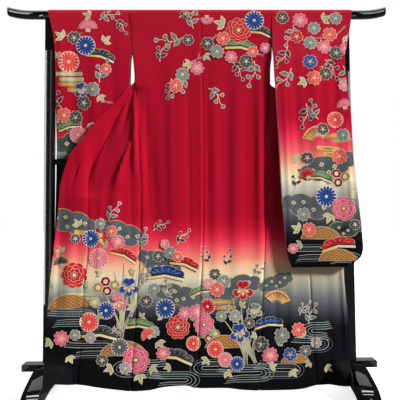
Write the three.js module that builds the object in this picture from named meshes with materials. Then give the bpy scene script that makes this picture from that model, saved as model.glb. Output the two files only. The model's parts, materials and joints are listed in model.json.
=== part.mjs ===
// A furisode, the long-sleeved kimono, hung over a lacquered kimono rack with its back to the
// viewer and both fronts opened out to the sides.
//
// Millimetres. X runs to the viewer's right, Y away from the viewer and Z up. The origin lies on
// the floor under the middle of the rack. Every garment piece is a thin closed wall of cloth.

import * as THREE from 'three';

// ---------------------------------------------------------------- driving dimensions: cloth

const CLOTH_THICKNESS = 2;
const SEAM_GAP = 0.5; // between the edges of two pieces that are sewn together
const HEM_LEVEL = 25; // mean height of the hem above the floor
const SHOULDER_HEIGHT = 1693.2; // middle of the cloth where it lies on the bar
const CENTRE_X = 10; // the garment hangs a little to the right of the rack's middle
const COLLAR_WIDTH = 55;
const NECK_HALF_WIDTH = 91;
const NECK_FREE_HALF_WIDTH = 40; // of the collar's free edge behind the neck
const KENSAKI_Z = 1175; // upper tip of the overlap panels
const COLLAR_END_Z = 886; // lower end of the collar band
const CUFF_Z = 1460; // lower end of the opening in the outer edge of a sleeve

// ---------------------------------------------------------------- driving dimensions: rack

const TOP_BAR = { halfLength: 852, depth: 30, height: 36, top: 1690, chamfer: 9, lift: 16, liftRun: 105 };
const POST = { x: 662, width: 41, depth: 34, chamfer: 3 };
const MID_BAR = { depth: 20, height: 25, top: 1019, chamfer: 2.5 };
const LOWER_BAR = { halfLength: 769, depth: 54, height: 29, top: 128, chamfer: 2.5 };
const FOOT = { x: 670, width: 70 };
const JOINT_GAP = 0.3;

// Front half of a foot's side outline, from the notch forward over the arch and back to the
// middle of its underside.
const FOOT_TOP = [
  { y: 45, z: 118 },
  { y: 75, z: 112 },
  { y: 106, z: 102 },
  { y: 141, z: 89 },
  { y: 176, z: 74 },
  { y: 203, z: 58 },
  { y: 222, z: 38 },
  { y: 233, z: 18 },
  { y: 236, z: 0 },
];
const FOOT_UNDERSIDE = [
  { y: 148, z: 0 },
  { y: 138, z: 7 },
  { y: 118, z: 16 },
  { y: 90, z: 24 },
  { y: 50, z: 30 },
];

// ---------------------------------------------------------------- tables of the garment's lines

// The path of cloth over the bar, from the shoulder line down one side: distance from the bar's
// middle plane, and height.
const OVER_BAR = [
  { out: 0.6, z: SHOULDER_HEIGHT },
  { out: 10, z: 1691.2 },
  { out: 18, z: 1684 },
  { out: 20, z: 1672 },
];

// The same path behind the neck, by distance along it from the shoulder line.
const BEHIND_NECK = [
  { down: 0, out: 0.6, z: SHOULDER_HEIGHT },
  { down: 10, out: 10, z: 1691.4 },
  { down: 20, out: 18.8, z: 1684.6 },
  { down: 31, out: 20.5, z: 1672 },
  { down: 53, out: 23, z: 1650 },
  { down: 60, out: 24, z: 1643 },
];

// How far down that path the sewn ends of the collar's corner rows lie.
const NECK_CORNER_DOWN = [31, 20, 10, 0];

// Heights of the rows of points in the body pieces. The collar ends on a row, and the overlap
// panels reach their free edge on the two rows below it.
const COLLAR_LAST_ROW = COLLAR_END_Z + 3;
const LAST_SEWN_ROW = COLLAR_END_Z - 2;
const FIRST_FREE_ROW = COLLAR_END_Z - 7;
const LEVELS = [
  1650, 1585, 1520, 1460, 1410, 1375, 1350, 1330, 1305, 1275, 1247, 1190, KENSAKI_Z, 1150, 1105,
  1045, 990, 936, COLLAR_LAST_ROW, LAST_SEWN_ROW, FIRST_FREE_ROW, 820, 750, 680, 600, 520, 440,
  360, 280, 210, 155, 120, 90, 65, HEM_LEVEL,
];

// Side seams of the back panels, by height.
const BACK_SIDE_LEFT = [
  { z: 1693, x: -310, y: -20 },
  { z: 1582, x: -299, y: -20 },
  { z: 1497, x: -294, y: -22 },
  { z: 1438, x: -287, y: -24 },
  { z: 1353, x: -281, y: -27 },
  { z: 1210, x: -274, y: -31 },
  { z: 1099, x: -263, y: -33 },
  { z: 984, x: -258, y: -34 },
  { z: 874, x: -253, y: -35 },
  { z: 487, x: -268, y: -38 },
  { z: 13, x: -300, y: -42 },
];
const BACK_SIDE_RIGHT = [
  { z: 1693, x: 332, y: -20 },
  { z: 1477, x: 329, y: -22 },
  { z: 1423, x: 322, y: -24 },
  { z: 1351, x: 319, y: -27 },
  { z: 1212, x: 307, y: -30 },
  { z: 1060, x: 293, y: -30 },
  { z: 860, x: 290, y: -31 },
  { z: 699, x: 287, y: -33 },
  { z: 395, x: 270, y: -38 },
  { z: 13, x: 254, y: -42 },
];
const CENTRE_BACK = [
  { z: 1693, x: 10, y: -20 },
  { z: 1450, x: 16, y: -24 },
  { z: 1141, x: 19, y: -30 },
  { z: 701, x: 15, y: -36 },
  { z: 398, x: 0, y: -40 },
  { z: 23, x: -16, y: -46 },
];

// Lines of the opened left front by height: the side seam edge, the seam to the overlap panel
// (or to the collar above its tip), the collar's sewn edge and the free edge. Above 1350 the
// panel hangs behind the bar. Round 1350 it is gathered and turns through the gap under the arm.
const OPENED_LEFT = [
  { z: 1676, sideX: -309, sideY: 20, seamX: -82, seamY: 20, sewnX: -82, sewnY: 20, freeX: -28, freeY: 22 },
  { z: 1620, sideX: -303, sideY: 21, seamX: -105, seamY: 22, sewnX: -105, sewnY: 22, freeX: -48, freeY: 26 },
  { z: 1540, sideX: -297, sideY: 21, seamX: -160, seamY: 27, sewnX: -160, sewnY: 27, freeX: -106, freeY: 33 },
  { z: 1460, sideX: -292, sideY: 15, seamX: -215, seamY: 30, sewnX: -215, sewnY: 30, freeX: -170, freeY: 37 },
  { z: 1410, sideX: -287, sideY: 2, seamX: -252, seamY: 23, sewnX: -252, sewnY: 23, freeX: -230, freeY: 36 },
  { z: 1375, sideX: -284, sideY: -13, seamX: -273, seamY: 5, sewnX: -273, sewnY: 5, freeX: -264, freeY: 19 },
  { z: 1350, sideX: -284, sideY: -24, seamX: -286, seamY: -8, sewnX: -286, sewnY: -8, freeX: -288, freeY: 7 },
  { z: 1330, sideX: -283, sideY: -29, seamX: -296, seamY: -22, sewnX: -296, sewnY: -22, freeX: -312, freeY: -20 },
  { z: 1305, sideX: -280, sideY: -30, seamX: -303, seamY: -33, sewnX: -303, sewnY: -33, freeX: -336, freeY: -34 },
  { z: 1247, sideX: -277, sideY: -31, seamX: -340, seamY: -38, sewnX: -340, sewnY: -38, freeX: -389, freeY: -42 },
  { z: 1190, sideX: -273, sideY: -32, seamX: -369, seamY: -42, sewnX: -370, sewnY: -42, freeX: -445, freeY: -46 },
  { z: 1105, sideX: -263, sideY: -33, seamX: -411, seamY: -44, sewnX: -429, sewnY: -45, freeX: -507, freeY: -47 },
  { z: 1045, sideX: -260, sideY: -34, seamX: -439, seamY: -45, sewnX: -484, sewnY: -46, freeX: -558, freeY: -45 },
  { z: 990, sideX: -258, sideY: -34, seamX: -468, seamY: -45, sewnX: -519, sewnY: -44, freeX: -581, freeY: -41 },
  { z: 936, sideX: -256, sideY: -35, seamX: -484, seamY: -44, sewnX: -541, sewnY: -41, freeX: -598, freeY: -37 },
  { z: 886, sideX: -253, sideY: -35, seamX: -486, seamY: -43, sewnX: -557, sewnY: -39, freeX: -609, freeY: -35 },
  { z: 840, sideX: -253, sideY: -35, seamX: -484, seamY: -43, sewnX: -557, sewnY: -39, freeX: -611, freeY: -34 },
  { z: 628, sideX: -262, sideY: -37, seamX: -484, seamY: -42, sewnX: -557, sewnY: -38, freeX: -632, freeY: -34 },
  { z: 487, sideX: -268, sideY: -38, seamX: -499, seamY: -42, sewnX: -557, sewnY: -38, freeX: -646, freeY: -34 },
  { z: 262, sideX: -284, sideY: -40, seamX: -511, seamY: -43, sewnX: -557, sewnY: -39, freeX: -664, freeY: -36 },
  { z: 13, sideX: -300, sideY: -42, seamX: -531, seamY: -46, sewnX: -557, sewnY: -42, freeX: -676, freeY: -40 },
];
const OPENED_RIGHT = [
  { z: 1676, sideX: 331, sideY: 20, seamX: 102, seamY: 20, sewnX: 102, sewnY: 20, freeX: 48, freeY: 22 },
  { z: 1620, sideX: 330, sideY: 21, seamX: 125, seamY: 22, sewnX: 125, sewnY: 22, freeX: 68, freeY: 26 },
  { z: 1540, sideX: 330, sideY: 21, seamX: 190, seamY: 27, sewnX: 190, sewnY: 27, freeX: 136, freeY: 33 },
  { z: 1460, sideX: 328, sideY: 14, seamX: 250, seamY: 30, sewnX: 250, sewnY: 30, freeX: 205, freeY: 37 },
  { z: 1410, sideX: 324, sideY: 1, seamX: 289, seamY: 22, sewnX: 289, sewnY: 22, freeX: 267, freeY: 35 },
  { z: 1375, sideX: 322, sideY: -14, seamX: 311, seamY: 4, sewnX: 311, sewnY: 4, freeX: 302, freeY: 18 },
  { z: 1350, sideX: 322, sideY: -23, seamX: 324, seamY: -7, sewnX: 324, sewnY: -7, freeX: 326, freeY: 8 },
  { z: 1330, sideX: 320, sideY: -28, seamX: 334, seamY: -20, sewnX: 334, sewnY: -20, freeX: 350, freeY: -14 },
  { z: 1305, sideX: 317, sideY: -29, seamX: 341, seamY: -25, sewnX: 341, sewnY: -25, freeX: 374, freeY: -22 },
  { z: 1247, sideX: 311, sideY: -30, seamX: 376, seamY: -26, sewnX: 376, sewnY: -26, freeX: 427, freeY: -24 },
  { z: 1190, sideX: 306, sideY: -30, seamX: 407, seamY: -26, sewnX: 408, sewnY: -26, freeX: 483, freeY: -25 },
  { z: 1105, sideX: 298, sideY: -30, seamX: 449, seamY: -26, sewnX: 467, sewnY: -26, freeX: 541, freeY: -25 },
  { z: 1045, sideX: 293, sideY: -30, seamX: 477, seamY: -26, sewnX: 522, sewnY: -26, freeX: 592, freeY: -25 },
  { z: 990, sideX: 292, sideY: -30, seamX: 500, seamY: -26, sewnX: 555, sewnY: -26, freeX: 610, freeY: -25 },
  { z: 936, sideX: 291, sideY: -31, seamX: 506, seamY: -26, sewnX: 570, sewnY: -26, freeX: 620, freeY: -25 },
  { z: 886, sideX: 290, sideY: -31, seamX: 503, seamY: -26, sewnX: 575, sewnY: -26, freeX: 626, freeY: -25 },
  { z: 840, sideX: 290, sideY: -31, seamX: 499, seamY: -27, sewnX: 575, sewnY: -26, freeX: 627, freeY: -26 },
  { z: 628, sideX: 284, sideY: -34, seamX: 483, seamY: -31, sewnX: 575, sewnY: -28, freeX: 628, freeY: -27 },
  { z: 534, sideX: 278, sideY: -36, seamX: 480, seamY: -34, sewnX: 575, sewnY: -30, freeX: 628, freeY: -29 },
  { z: 328, sideX: 267, sideY: -39, seamX: 485, seamY: -38, sewnX: 575, sewnY: -34, freeX: 642, freeY: -32 },
  { z: 13, sideX: 254, sideY: -42, seamX: 498, seamY: -44, sewnX: 575, sewnY: -40, freeX: 650, freeY: -38 },
];

// Height of the hem across the garment. It sags between the seams.
const HEM = [
  { x: -700, z: 46 },
  { x: -611, z: 45 },
  { x: -531, z: 49 },
  { x: -431, z: 34 },
  { x: -344, z: 22 },
  { x: -300, z: 17 },
  { x: -229, z: 20 },
  { x: -148, z: 35 },
  { x: -67, z: 39 },
  { x: -16, z: 28 },
  { x: 108, z: 26 },
  { x: 181, z: 17 },
  { x: 254, z: 13 },
  { x: 378, z: 14 },
  { x: 440, z: 19 },
  { x: 497, z: 32 },
  { x: 550, z: 35 },
  { x: 700, z: 33 },
];

// The sag fades out upwards, to nothing at this height.
const SAG_FROM = 600;
const SAG_POWER = 1.4;

// Long soft folds of the near side: where they run, how wide and how deep they are (towards the
// viewer is positive) and the heights between which they fade in and out.
const FOLDS = [
  { topX: -175, lowX: -160, halfWidth: 34, depth: -7, top: 1600, bottom: 420 },
  { topX: -95, lowX: -95, halfWidth: 48, depth: 6, top: 1600, bottom: 350 },
  { topX: 12, lowX: 12, halfWidth: 20, depth: 4, top: 1640, bottom: 200 },
  { topX: 38, lowX: 36, halfWidth: 24, depth: -5, top: 1600, bottom: 500 },
  { topX: 72, lowX: 70, halfWidth: 30, depth: 5, top: 1560, bottom: 450 },
  { topX: 128, lowX: 118, halfWidth: 34, depth: -8, top: 1600, bottom: 380 },
  { topX: 172, lowX: 162, halfWidth: 30, depth: 6, top: 1560, bottom: 420 },
  { topX: 232, lowX: 222, halfWidth: 30, depth: -7, top: 1500, bottom: 500 },
  { topX: 270, lowX: 262, halfWidth: 22, depth: 5, top: 1450, bottom: 560 },
  { topX: -276, lowX: -272, halfWidth: 26, depth: 9, top: 1300, bottom: 900 },
  { topX: -312, lowX: -350, halfWidth: 28, depth: -8, top: 1290, bottom: 960 },
  { topX: -330, lowX: -400, halfWidth: 40, depth: 9, top: 1130, bottom: 560 },
  { topX: -470, lowX: -480, halfWidth: 34, depth: -5, top: 1080, bottom: 300 },
  { topX: -545, lowX: -575, halfWidth: 36, depth: 5, top: 980, bottom: 260 },
];

const FOLD_FADE_POWER = 0.8; // how fully a fold keeps its depth between its ends
const FOLDS_START_Y = -20.5; // cloth nearer to the viewer than this has the folds

// Lines of the sleeves by height: inner and outer edges, and the depths of the two layers. The
// far layer has its own outer edge, because it passes beside the post.
const SLEEVE_LEFT = [
  { z: 1693, inner: -312, nearOuter: -668, farOuter: -666, nearY: -20, farY: 20 },
  { z: 1650, inner: -307.5, nearOuter: -661, farOuter: -660, nearY: -20.5, farY: 22 },
  { z: 1585, inner: -301, nearOuter: -647, farOuter: -647, nearY: -20.5, farY: 24 },
  { z: 1520, inner: -297, nearOuter: -639, farOuter: -638, nearY: -20, farY: 24 },
  { z: 1460, inner: -303, nearOuter: -636, farOuter: -636, nearY: -18, farY: 24 },
  { z: 1330, inner: -307, nearOuter: -635, farOuter: -635, nearY: -11, farY: 24 },
  { z: 1190, inner: -313, nearOuter: -636, farOuter: -636, nearY: 3, farY: 28 },
  { z: 1060, inner: -320, nearOuter: -637, farOuter: -637, nearY: 18, farY: 36 },
  { z: 829, inner: -330, nearOuter: -642, farOuter: -642, nearY: 24, farY: 40 },
  { z: 622, inner: -344, nearOuter: -645, farOuter: -645, nearY: 26, farY: 40 },
  { z: 588, inner: -350, nearOuter: -638, farOuter: -638, nearY: 26, farY: 40 },
  { z: 563, inner: -357, nearOuter: -614, farOuter: -614, nearY: 27, farY: 40 },
  { z: 545, inner: -363, nearOuter: -580, farOuter: -580, nearY: 28, farY: 39 },
];
const SLEEVE_RIGHT = [
  { z: 1693, inner: 334, nearOuter: 694, farOuter: 628, nearY: -20, farY: 20 },
  { z: 1650, inner: 333, nearOuter: 690, farOuter: 628, nearY: -21, farY: 20 },
  { z: 1585, inner: 332, nearOuter: 679, farOuter: 629, nearY: -26, farY: 12 },
  { z: 1520, inner: 332, nearOuter: 664, farOuter: 630, nearY: -34, farY: -9 },
  { z: 1460, inner: 333.5, nearOuter: 651, farOuter: 649, nearY: -44, farY: -32 },
  { z: 1398, inner: 335, nearOuter: 650, farOuter: 650, nearY: -50, farY: -37 },
  { z: 1330, inner: 339, nearOuter: 655, farOuter: 655, nearY: -55, farY: -40 },
  { z: 1190, inner: 345, nearOuter: 667, farOuter: 667, nearY: -60, farY: -42 },
  { z: 1060, inner: 350, nearOuter: 670, farOuter: 670, nearY: -63, farY: -44 },
  { z: 829, inner: 358, nearOuter: 687, farOuter: 687, nearY: -66, farY: -48 },
  { z: 720, inner: 367, nearOuter: 697, farOuter: 697, nearY: -67, farY: -50 },
  { z: 622, inner: 374, nearOuter: 703, farOuter: 703, nearY: -67, farY: -52 },
  { z: 588, inner: 379, nearOuter: 696, farOuter: 696, nearY: -67, farY: -53 },
  { z: 563, inner: 386, nearOuter: 672, farOuter: 672, nearY: -67, farY: -54 },
  { z: 545, inner: 394, nearOuter: 636, farOuter: 636, nearY: -66, farY: -55 },
];
const SLEEVE_LEVELS = [
  1650, 1585, 1520, CUFF_Z, 1398, 1330, 1260, 1190, 1125, 1060, 985, 910, 829, 760, 690, 622, 588,
  563, 545,
];
const SLEEVE_BOTTOM_DROP = 6; // the folded bottom edge hangs this far below the last row
const SLEEVE_EDGE_BULGE = 1.5; // the closed outer edge stands this far past the two layers

// Where the fronts meet a foot, their hem comes forward and draws in. The left one lies along the
// top of the foot, and the right one slips off its inner edge and hangs beside it. t runs down
// from the level where this starts to the hem.
const OVER_FOOT = { from: 540, to: 622, start: 160, hangingY: -38, drawIn: 0.49 / 1000 };
const OVER_LEFT_FOOT = [
  { t: 0, y: -38, z: 160 },
  { t: 0.26, y: -57, z: 128 },
  { t: 0.46, y: -80, z: 115 },
  { t: 0.73, y: -115, z: 103 },
  { t: 1, y: -150, z: 88.5 },
];
const OVER_RIGHT_FOOT = [
  { t: 0, y: -38, z: 160 },
  { t: 0.26, y: -57, z: 128 },
  { t: 0.46, y: -80, z: 113.5 },
  { t: 0.61, y: -92, z: 97 },
  { t: 0.75, y: -97, z: 78 },
  { t: 1, y: -98, z: 46 },
];

// ---------------------------------------------------------------- small helpers

const lerp = THREE.MathUtils.lerp;
const { smoothstep } = THREE.MathUtils;

/** Value of a table's column at a key, on a smooth curve that never overshoots its rows. */
function read(table, key, column, at) {
  const rows = [...table].sort((a, b) => a[key] - b[key]);
  const last = rows.length - 1;
  if (at <= rows[0][key]) return rows[0][column];
  if (at >= rows[last][key]) return rows[last][column];
  let i = 0;
  while (rows[i + 1][key] < at) i += 1;
  const rise = (k) => (rows[k + 1][column] - rows[k][column]) / (rows[k + 1][key] - rows[k][key]);
  const slope = (k) => {
    if (k === 0) return rise(0);
    if (k === last) return rise(last - 1);
    const before = rise(k - 1);
    const after = rise(k);
    return before * after <= 0 ? 0 : (2 * before * after) / (before + after);
  };
  const span = rows[i + 1][key] - rows[i][key];
  const t = (at - rows[i][key]) / span;
  const blend = t * t * (3 - 2 * t);
  const start = slope(i) * span * t * (1 - t) * (1 - t);
  const end = -slope(i + 1) * span * t * t * (1 - t);
  return lerp(rows[i][column], rows[i + 1][column], blend) + start + end;
}

/** Sheet with rows of points: faces between neighbouring rows and columns. */
function gridSheet(rows) {
  const columns = rows[0].length;
  const faces = [];
  for (let i = 0; i + 1 < rows.length; i += 1) {
    for (let j = 0; j + 1 < columns; j += 1) {
      const a = i * columns + j;
      faces.push([a, a + 1, a + columns + 1, a + columns]);
    }
  }
  return { points: rows.flat(), faces };
}

/** Closed wall of cloth round a sheet: both faces, and a strip along every free edge. */
function thicken(sheet, thickness = CLOTH_THICKNESS) {
  const { points, faces } = sheet;
  const normals = points.map(() => new THREE.Vector3());
  for (const face of faces) {
    const [a, b, c, d] = face.map((k) => points[k]);
    const across = new THREE.Vector3().subVectors(c, a);
    const other = d ? new THREE.Vector3().subVectors(d, b) : new THREE.Vector3().subVectors(b, a);
    const normal = d ? across.cross(other) : other.cross(across);
    for (const k of face) normals[k].add(normal);
  }
  const half = thickness / 2;
  const positions = [];
  for (const side of [half, -half]) {
    points.forEach((point, k) => {
      const moved = point.clone().addScaledVector(normals[k].clone().normalize(), side);
      positions.push(moved.x, moved.y, moved.z);
    });
  }
  const count = points.length;
  const index = [];
  const edges = new Map();
  for (const face of faces) {
    for (let k = 1; k + 1 < face.length; k += 1) {
      index.push(face[0], face[k], face[k + 1]);
      index.push(face[0] + count, face[k + 1] + count, face[k] + count);
    }
    face.forEach((from, k) => {
      const to = face[(k + 1) % face.length];
      if (edges.has(`${to},${from}`)) edges.delete(`${to},${from}`);
      else edges.set(`${from},${to}`, [from, to]);
    });
  }
  for (const [from, to] of edges.values()) {
    index.push(to, from, from + count, to, from + count, to + count);
  }
  const geometry = new THREE.BufferGeometry();
  geometry.setAttribute('position', new THREE.Float32BufferAttribute(positions, 3));
  geometry.setIndex(index);
  geometry.computeVertexNormals();
  return geometry;
}

/** Closed body through rings of points, with a flat cap at each end. */
function loft(rings) {
  const size = rings[0].length;
  const positions = rings.flat().flatMap((point) => [point.x, point.y, point.z]);
  const index = [];
  for (let i = 0; i + 1 < rings.length; i += 1) {
    for (let j = 0; j < size; j += 1) {
      const a = i * size + j;
      const b = i * size + ((j + 1) % size);
      index.push(a, b, b + size, a, b + size, a + size);
    }
  }
  const end = (rings.length - 1) * size;
  for (let j = 1; j + 1 < size; j += 1) {
    index.push(0, j + 1, j);
    index.push(end, end + j, end + j + 1);
  }
  const geometry = new THREE.BufferGeometry();
  geometry.setAttribute('position', new THREE.Float32BufferAttribute(positions, 3));
  geometry.setIndex(index);
  geometry.computeVertexNormals();
  return geometry;
}

/** Corners of a rectangle with cut corners, counter-clockwise. */
function chamferedRectangle(width, height, chamfer) {
  const w = width / 2;
  const h = height / 2;
  const c = chamfer;
  return [
    [w, -h + c], [w, h - c], [w - c, h], [-w + c, h],
    [-w, h - c], [-w, -h + c], [-w + c, -h], [w - c, -h],
  ];
}

// ---------------------------------------------------------------- materials

const silkRed = new THREE.MeshStandardMaterial({ color: 0xa81028, roughness: 0.55, metalness: 0 });
const silkCollar = new THREE.MeshStandardMaterial({ color: 0x9c1026, roughness: 0.55, metalness: 0 });
const lacquer = new THREE.MeshStandardMaterial({ color: 0x0b0b0d, roughness: 0.12, metalness: 0 });

function piece(name, geometry, material) {
  const mesh = new THREE.Mesh(geometry, material.clone());
  mesh.name = name;
  return mesh;
}

// ---------------------------------------------------------------- cloth shape

/** How far the folds bring the near side towards the viewer at a place. */
function foldRelief(x, z) {
  let relief = 0;
  for (const fold of FOLDS) {
    const down = THREE.MathUtils.clamp((fold.top - z) / (fold.top - fold.bottom), 0, 1);
    const centre = lerp(fold.topX, fold.lowX, down);
    const away = (x - centre) / fold.halfWidth;
    if (Math.abs(away) >= 1) continue;
    const fade = Math.sin(Math.PI * down) ** FOLD_FADE_POWER;
    relief += fold.depth * fade * (1 - away * away) ** 2;
  }
  return relief;
}

/** Height of a row of the body at x, with the hem's sag worked in near the bottom. */
function rowHeight(level, x) {
  const share = THREE.MathUtils.clamp((SAG_FROM - level) / (SAG_FROM - HEM_LEVEL), 0, 1);
  return level + (read(HEM, 'x', 'z', x) - HEM_LEVEL) * share ** SAG_POWER;
}

/** A point of the near side, laid forward over a foot where it hangs above one. */
function nearPoint(x, y, level) {
  const z = rowHeight(level, x);
  const hanging = new THREE.Vector3(x, y - foldRelief(x, z), z);
  const share = smoothstep(Math.abs(x), OVER_FOOT.from, OVER_FOOT.to);
  if (share === 0 || level >= OVER_FOOT.start) return hanging;
  const t = (OVER_FOOT.start - level) / (OVER_FOOT.start - HEM_LEVEL);
  const path = x < 0 ? OVER_LEFT_FOOT : OVER_RIGHT_FOOT;
  const lyingY = read(path, 't', 'y', t);
  const lyingX = x * (1 + (lyingY - OVER_FOOT.hangingY) * OVER_FOOT.drawIn);
  return hanging.lerp(new THREE.Vector3(lyingX, lyingY, read(path, 't', 'z', t)), share);
}

/** Row of points from one plan position to another, evenly spaced. */
function rowBetween(from, to, columns, level) {
  const row = [];
  for (let j = 0; j <= columns; j += 1) {
    const t = j / columns;
    const x = lerp(from.x, to.x, t);
    const y = lerp(from.y, to.y, t);
    row.push(y < FOLDS_START_Y ? nearPoint(x, y, level) : new THREE.Vector3(x, y, rowHeight(level, x)));
  }
  return row;
}

/** Rows of cloth over the bar between two x positions; side is -1 near and 1 far. */
function rowsOverBar(fromX, toX, columns, side) {
  return OVER_BAR.map(({ out, z }) => {
    const row = [];
    for (let j = 0; j <= columns; j += 1) {
      row.push(new THREE.Vector3(lerp(fromX, toX, j / columns), side * out, z));
    }
    return row;
  });
}

/** A back body panel between the centre-back seam and a side seam. */
function backPanel(sideTable, hand) {
  const columns = 10;
  const inset = (hand * SEAM_GAP) / 2;
  const centreX = (z) => read(CENTRE_BACK, 'z', 'x', z) + inset;
  const sideX = (z) => read(sideTable, 'z', 'x', z) - inset;
  const rows = rowsOverBar(centreX(SHOULDER_HEIGHT), sideX(SHOULDER_HEIGHT), columns, -1);
  for (const level of LEVELS) {
    const centre = { x: centreX(level), y: read(CENTRE_BACK, 'z', 'y', level) };
    const side = { x: sideX(level), y: read(sideTable, 'z', 'y', level) };
    rows.push(rowBetween(centre, side, columns, level));
  }
  return thicken(gridSheet(rows));
}

/** Plan position of a line of an opened front, moved towards another line by a gap. */
function lineAt(table, name, level, towards = null, gap = 0) {
  const at = (line) => new THREE.Vector2(
    read(table, 'z', `${line}X`, level),
    read(table, 'z', `${line}Y`, level),
  );
  const point = at(name);
  if (towards) point.addScaledVector(at(towards).sub(point).normalize(), gap);
  return point;
}

/** An opened front panel, from the shoulder line behind the bar to the hem. */
function frontPanel(table) {
  const columns = 8;
  const topSide = read(table, 'z', 'sideX', SHOULDER_HEIGHT);
  const topSeam = read(table, 'z', 'seamX', SHOULDER_HEIGHT);
  const rows = rowsOverBar(topSide, topSeam, columns, 1);
  for (const level of LEVELS) {
    const side = lineAt(table, 'side', level, 'seam', SEAM_GAP);
    const seam = lineAt(table, 'seam', level, 'side', SEAM_GAP);
    rows.push(rowBetween(side, seam, columns, level));
  }
  return thicken(gridSheet(rows));
}

/** An overlap panel between a front panel and the collar, and free below the collar's end. */
function okumiPanel(table) {
  const columns = 5;
  const levels = LEVELS.filter((level) => level <= KENSAKI_Z && level !== COLLAR_LAST_ROW);
  const rows = levels.map((level) => {
    const seam = lineAt(table, 'seam', level, 'free', SEAM_GAP / 2);
    const outer = level >= LAST_SEWN_ROW
      ? lineAt(table, 'sewn', level, 'seam', SEAM_GAP / 2)
      : lineAt(table, 'free', level);
    return rowBetween(seam, outer, columns, level);
  });
  return thicken(gridSheet(rows));
}

/** The collar band: up the left front's edge, round the neck and down the right front's edge. */
function collarBand() {
  const columns = 5;
  const levels = LEVELS.filter((level) => level > COLLAR_END_Z);
  const strip = (table) => levels.map((level) => {
    const sewn = lineAt(table, 'sewn', level, 'free', SEAM_GAP);
    return rowBetween(sewn, lineAt(table, 'free', level), columns, level);
  });
  // At the neck a row runs from the shoulder line over the bar and down behind it.
  const neckRow = (sewn, free) => {
    const row = [];
    for (let j = 0; j <= columns; j += 1) {
      const t = j / columns;
      const down = lerp(sewn.down, free.down, t);
      row.push(new THREE.Vector3(
        lerp(sewn.x, free.x, t),
        read(BEHIND_NECK, 'down', 'out', down),
        read(BEHIND_NECK, 'down', 'z', down),
      ));
    }
    return row;
  };
  // At each side of the neck the rows turn from lying across to running down: their sewn ends
  // come down behind the bar, and their free ends draw apart and up a little.
  const corner = (hand) => NECK_CORNER_DOWN.map((down) => neckRow(
    { x: CENTRE_X + hand * NECK_HALF_WIDTH, down },
    { x: CENTRE_X + hand * (NECK_FREE_HALF_WIDTH + down / 4), down: COLLAR_WIDTH - down / 10 },
  ));
  const middle = [-0.5, 0, 0.5].map((share) => neckRow(
    { x: CENTRE_X + share * NECK_HALF_WIDTH, down: 0 },
    { x: CENTRE_X + share * NECK_FREE_HALF_WIDTH, down: COLLAR_WIDTH },
  ));
  return thicken(gridSheet([
    ...strip(OPENED_LEFT).reverse(), ...corner(-1), ...middle, ...corner(1).reverse(),
    ...strip(OPENED_RIGHT),
  ]));
}

/** A sleeve: a bag of two layers over the bar, open at its inner edge and at the cuff. */
function sleeve(table) {
  const columns = 7;
  const layerRow = (layer, level, z = level, y = null) => {
    const inner = read(table, 'z', 'inner', level);
    const outer = read(table, 'z', `${layer}Outer`, level);
    const depth = y ?? read(table, 'z', `${layer}Y`, level);
    const row = [];
    for (let j = 0; j <= columns; j += 1) {
      row.push(new THREE.Vector3(lerp(inner, outer, j / columns), depth, z));
    }
    return row;
  };
  const last = SLEEVE_LEVELS[SLEEVE_LEVELS.length - 1];
  const middle = (read(table, 'z', 'nearY', last) + read(table, 'z', 'farY', last)) / 2;
  const overBar = OVER_BAR.slice(1);
  const loop = [
    ...SLEEVE_LEVELS.map((level) => layerRow('near', level)),
    layerRow('near', last, last - SLEEVE_BOTTOM_DROP, middle),
    ...SLEEVE_LEVELS.map((level) => layerRow('far', level)).reverse(),
    ...overBar.map(({ out, z }) => layerRow('far', SHOULDER_HEIGHT, z, out)).reverse(),
    layerRow('near', SHOULDER_HEIGHT, SHOULDER_HEIGHT, 0),
    ...overBar.map(({ out, z }) => layerRow('near', SHOULDER_HEIGHT, z, -out)),
  ];
  const sheet = gridSheet([...loop, loop[0]]);
  const width = columns + 1;
  const count = loop.length * width;
  sheet.points.length = count;
  sheet.faces = sheet.faces.map((face) => face.map((k) => k % count));

  // The outer edge is closed below the cuff by a rounded strip between the two layers.
  const outward = Math.sign(read(table, 'z', 'nearOuter', last));
  const levels = SLEEVE_LEVELS.length;
  const first = SLEEVE_LEVELS.indexOf(CUFF_Z);
  const near = (k) => k * width + columns;
  const far = (k) => (2 * levels - k) * width + columns;
  const edge = (k) => count + k - first;
  for (let k = first; k < levels; k += 1) {
    const a = sheet.points[near(k)];
    const b = sheet.points[far(k)];
    const middlePoint = new THREE.Vector3().addVectors(a, b).multiplyScalar(0.5);
    middlePoint.x += outward * SLEEVE_EDGE_BULGE;
    sheet.points.push(middlePoint);
  }
  for (let k = first; k + 1 < levels; k += 1) {
    sheet.faces.push([near(k), edge(k), edge(k + 1), near(k + 1)]);
    sheet.faces.push([edge(k), far(k), far(k + 1), edge(k + 1)]);
  }
  const bottom = levels * width + columns;
  sheet.faces.push([near(levels - 1), edge(levels - 1), far(levels - 1), bottom]);
  return thicken(sheet);
}

// ---------------------------------------------------------------- rack

/** The top bar, faceted, with ends that turn up. */
function topBar() {
  const { halfLength, depth, height, top, chamfer, lift, liftRun } = TOP_BAR;
  const section = chamferedRectangle(depth, height, chamfer);
  const straight = halfLength - liftRun;
  const stations = [0, 0.2, 0.4, 0.6, 0.8, 1].map((t) => straight + t * liftRun);
  const places = [...stations.map((x) => -x).reverse(), ...stations];
  const rings = places.map((x) => {
    const rise = lift * ((Math.max(Math.abs(x), straight) - straight) / liftRun) ** 2;
    return section.map(([y, z]) => new THREE.Vector3(x, y, top - height / 2 + rise + z));
  });
  return loft(rings);
}

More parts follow.
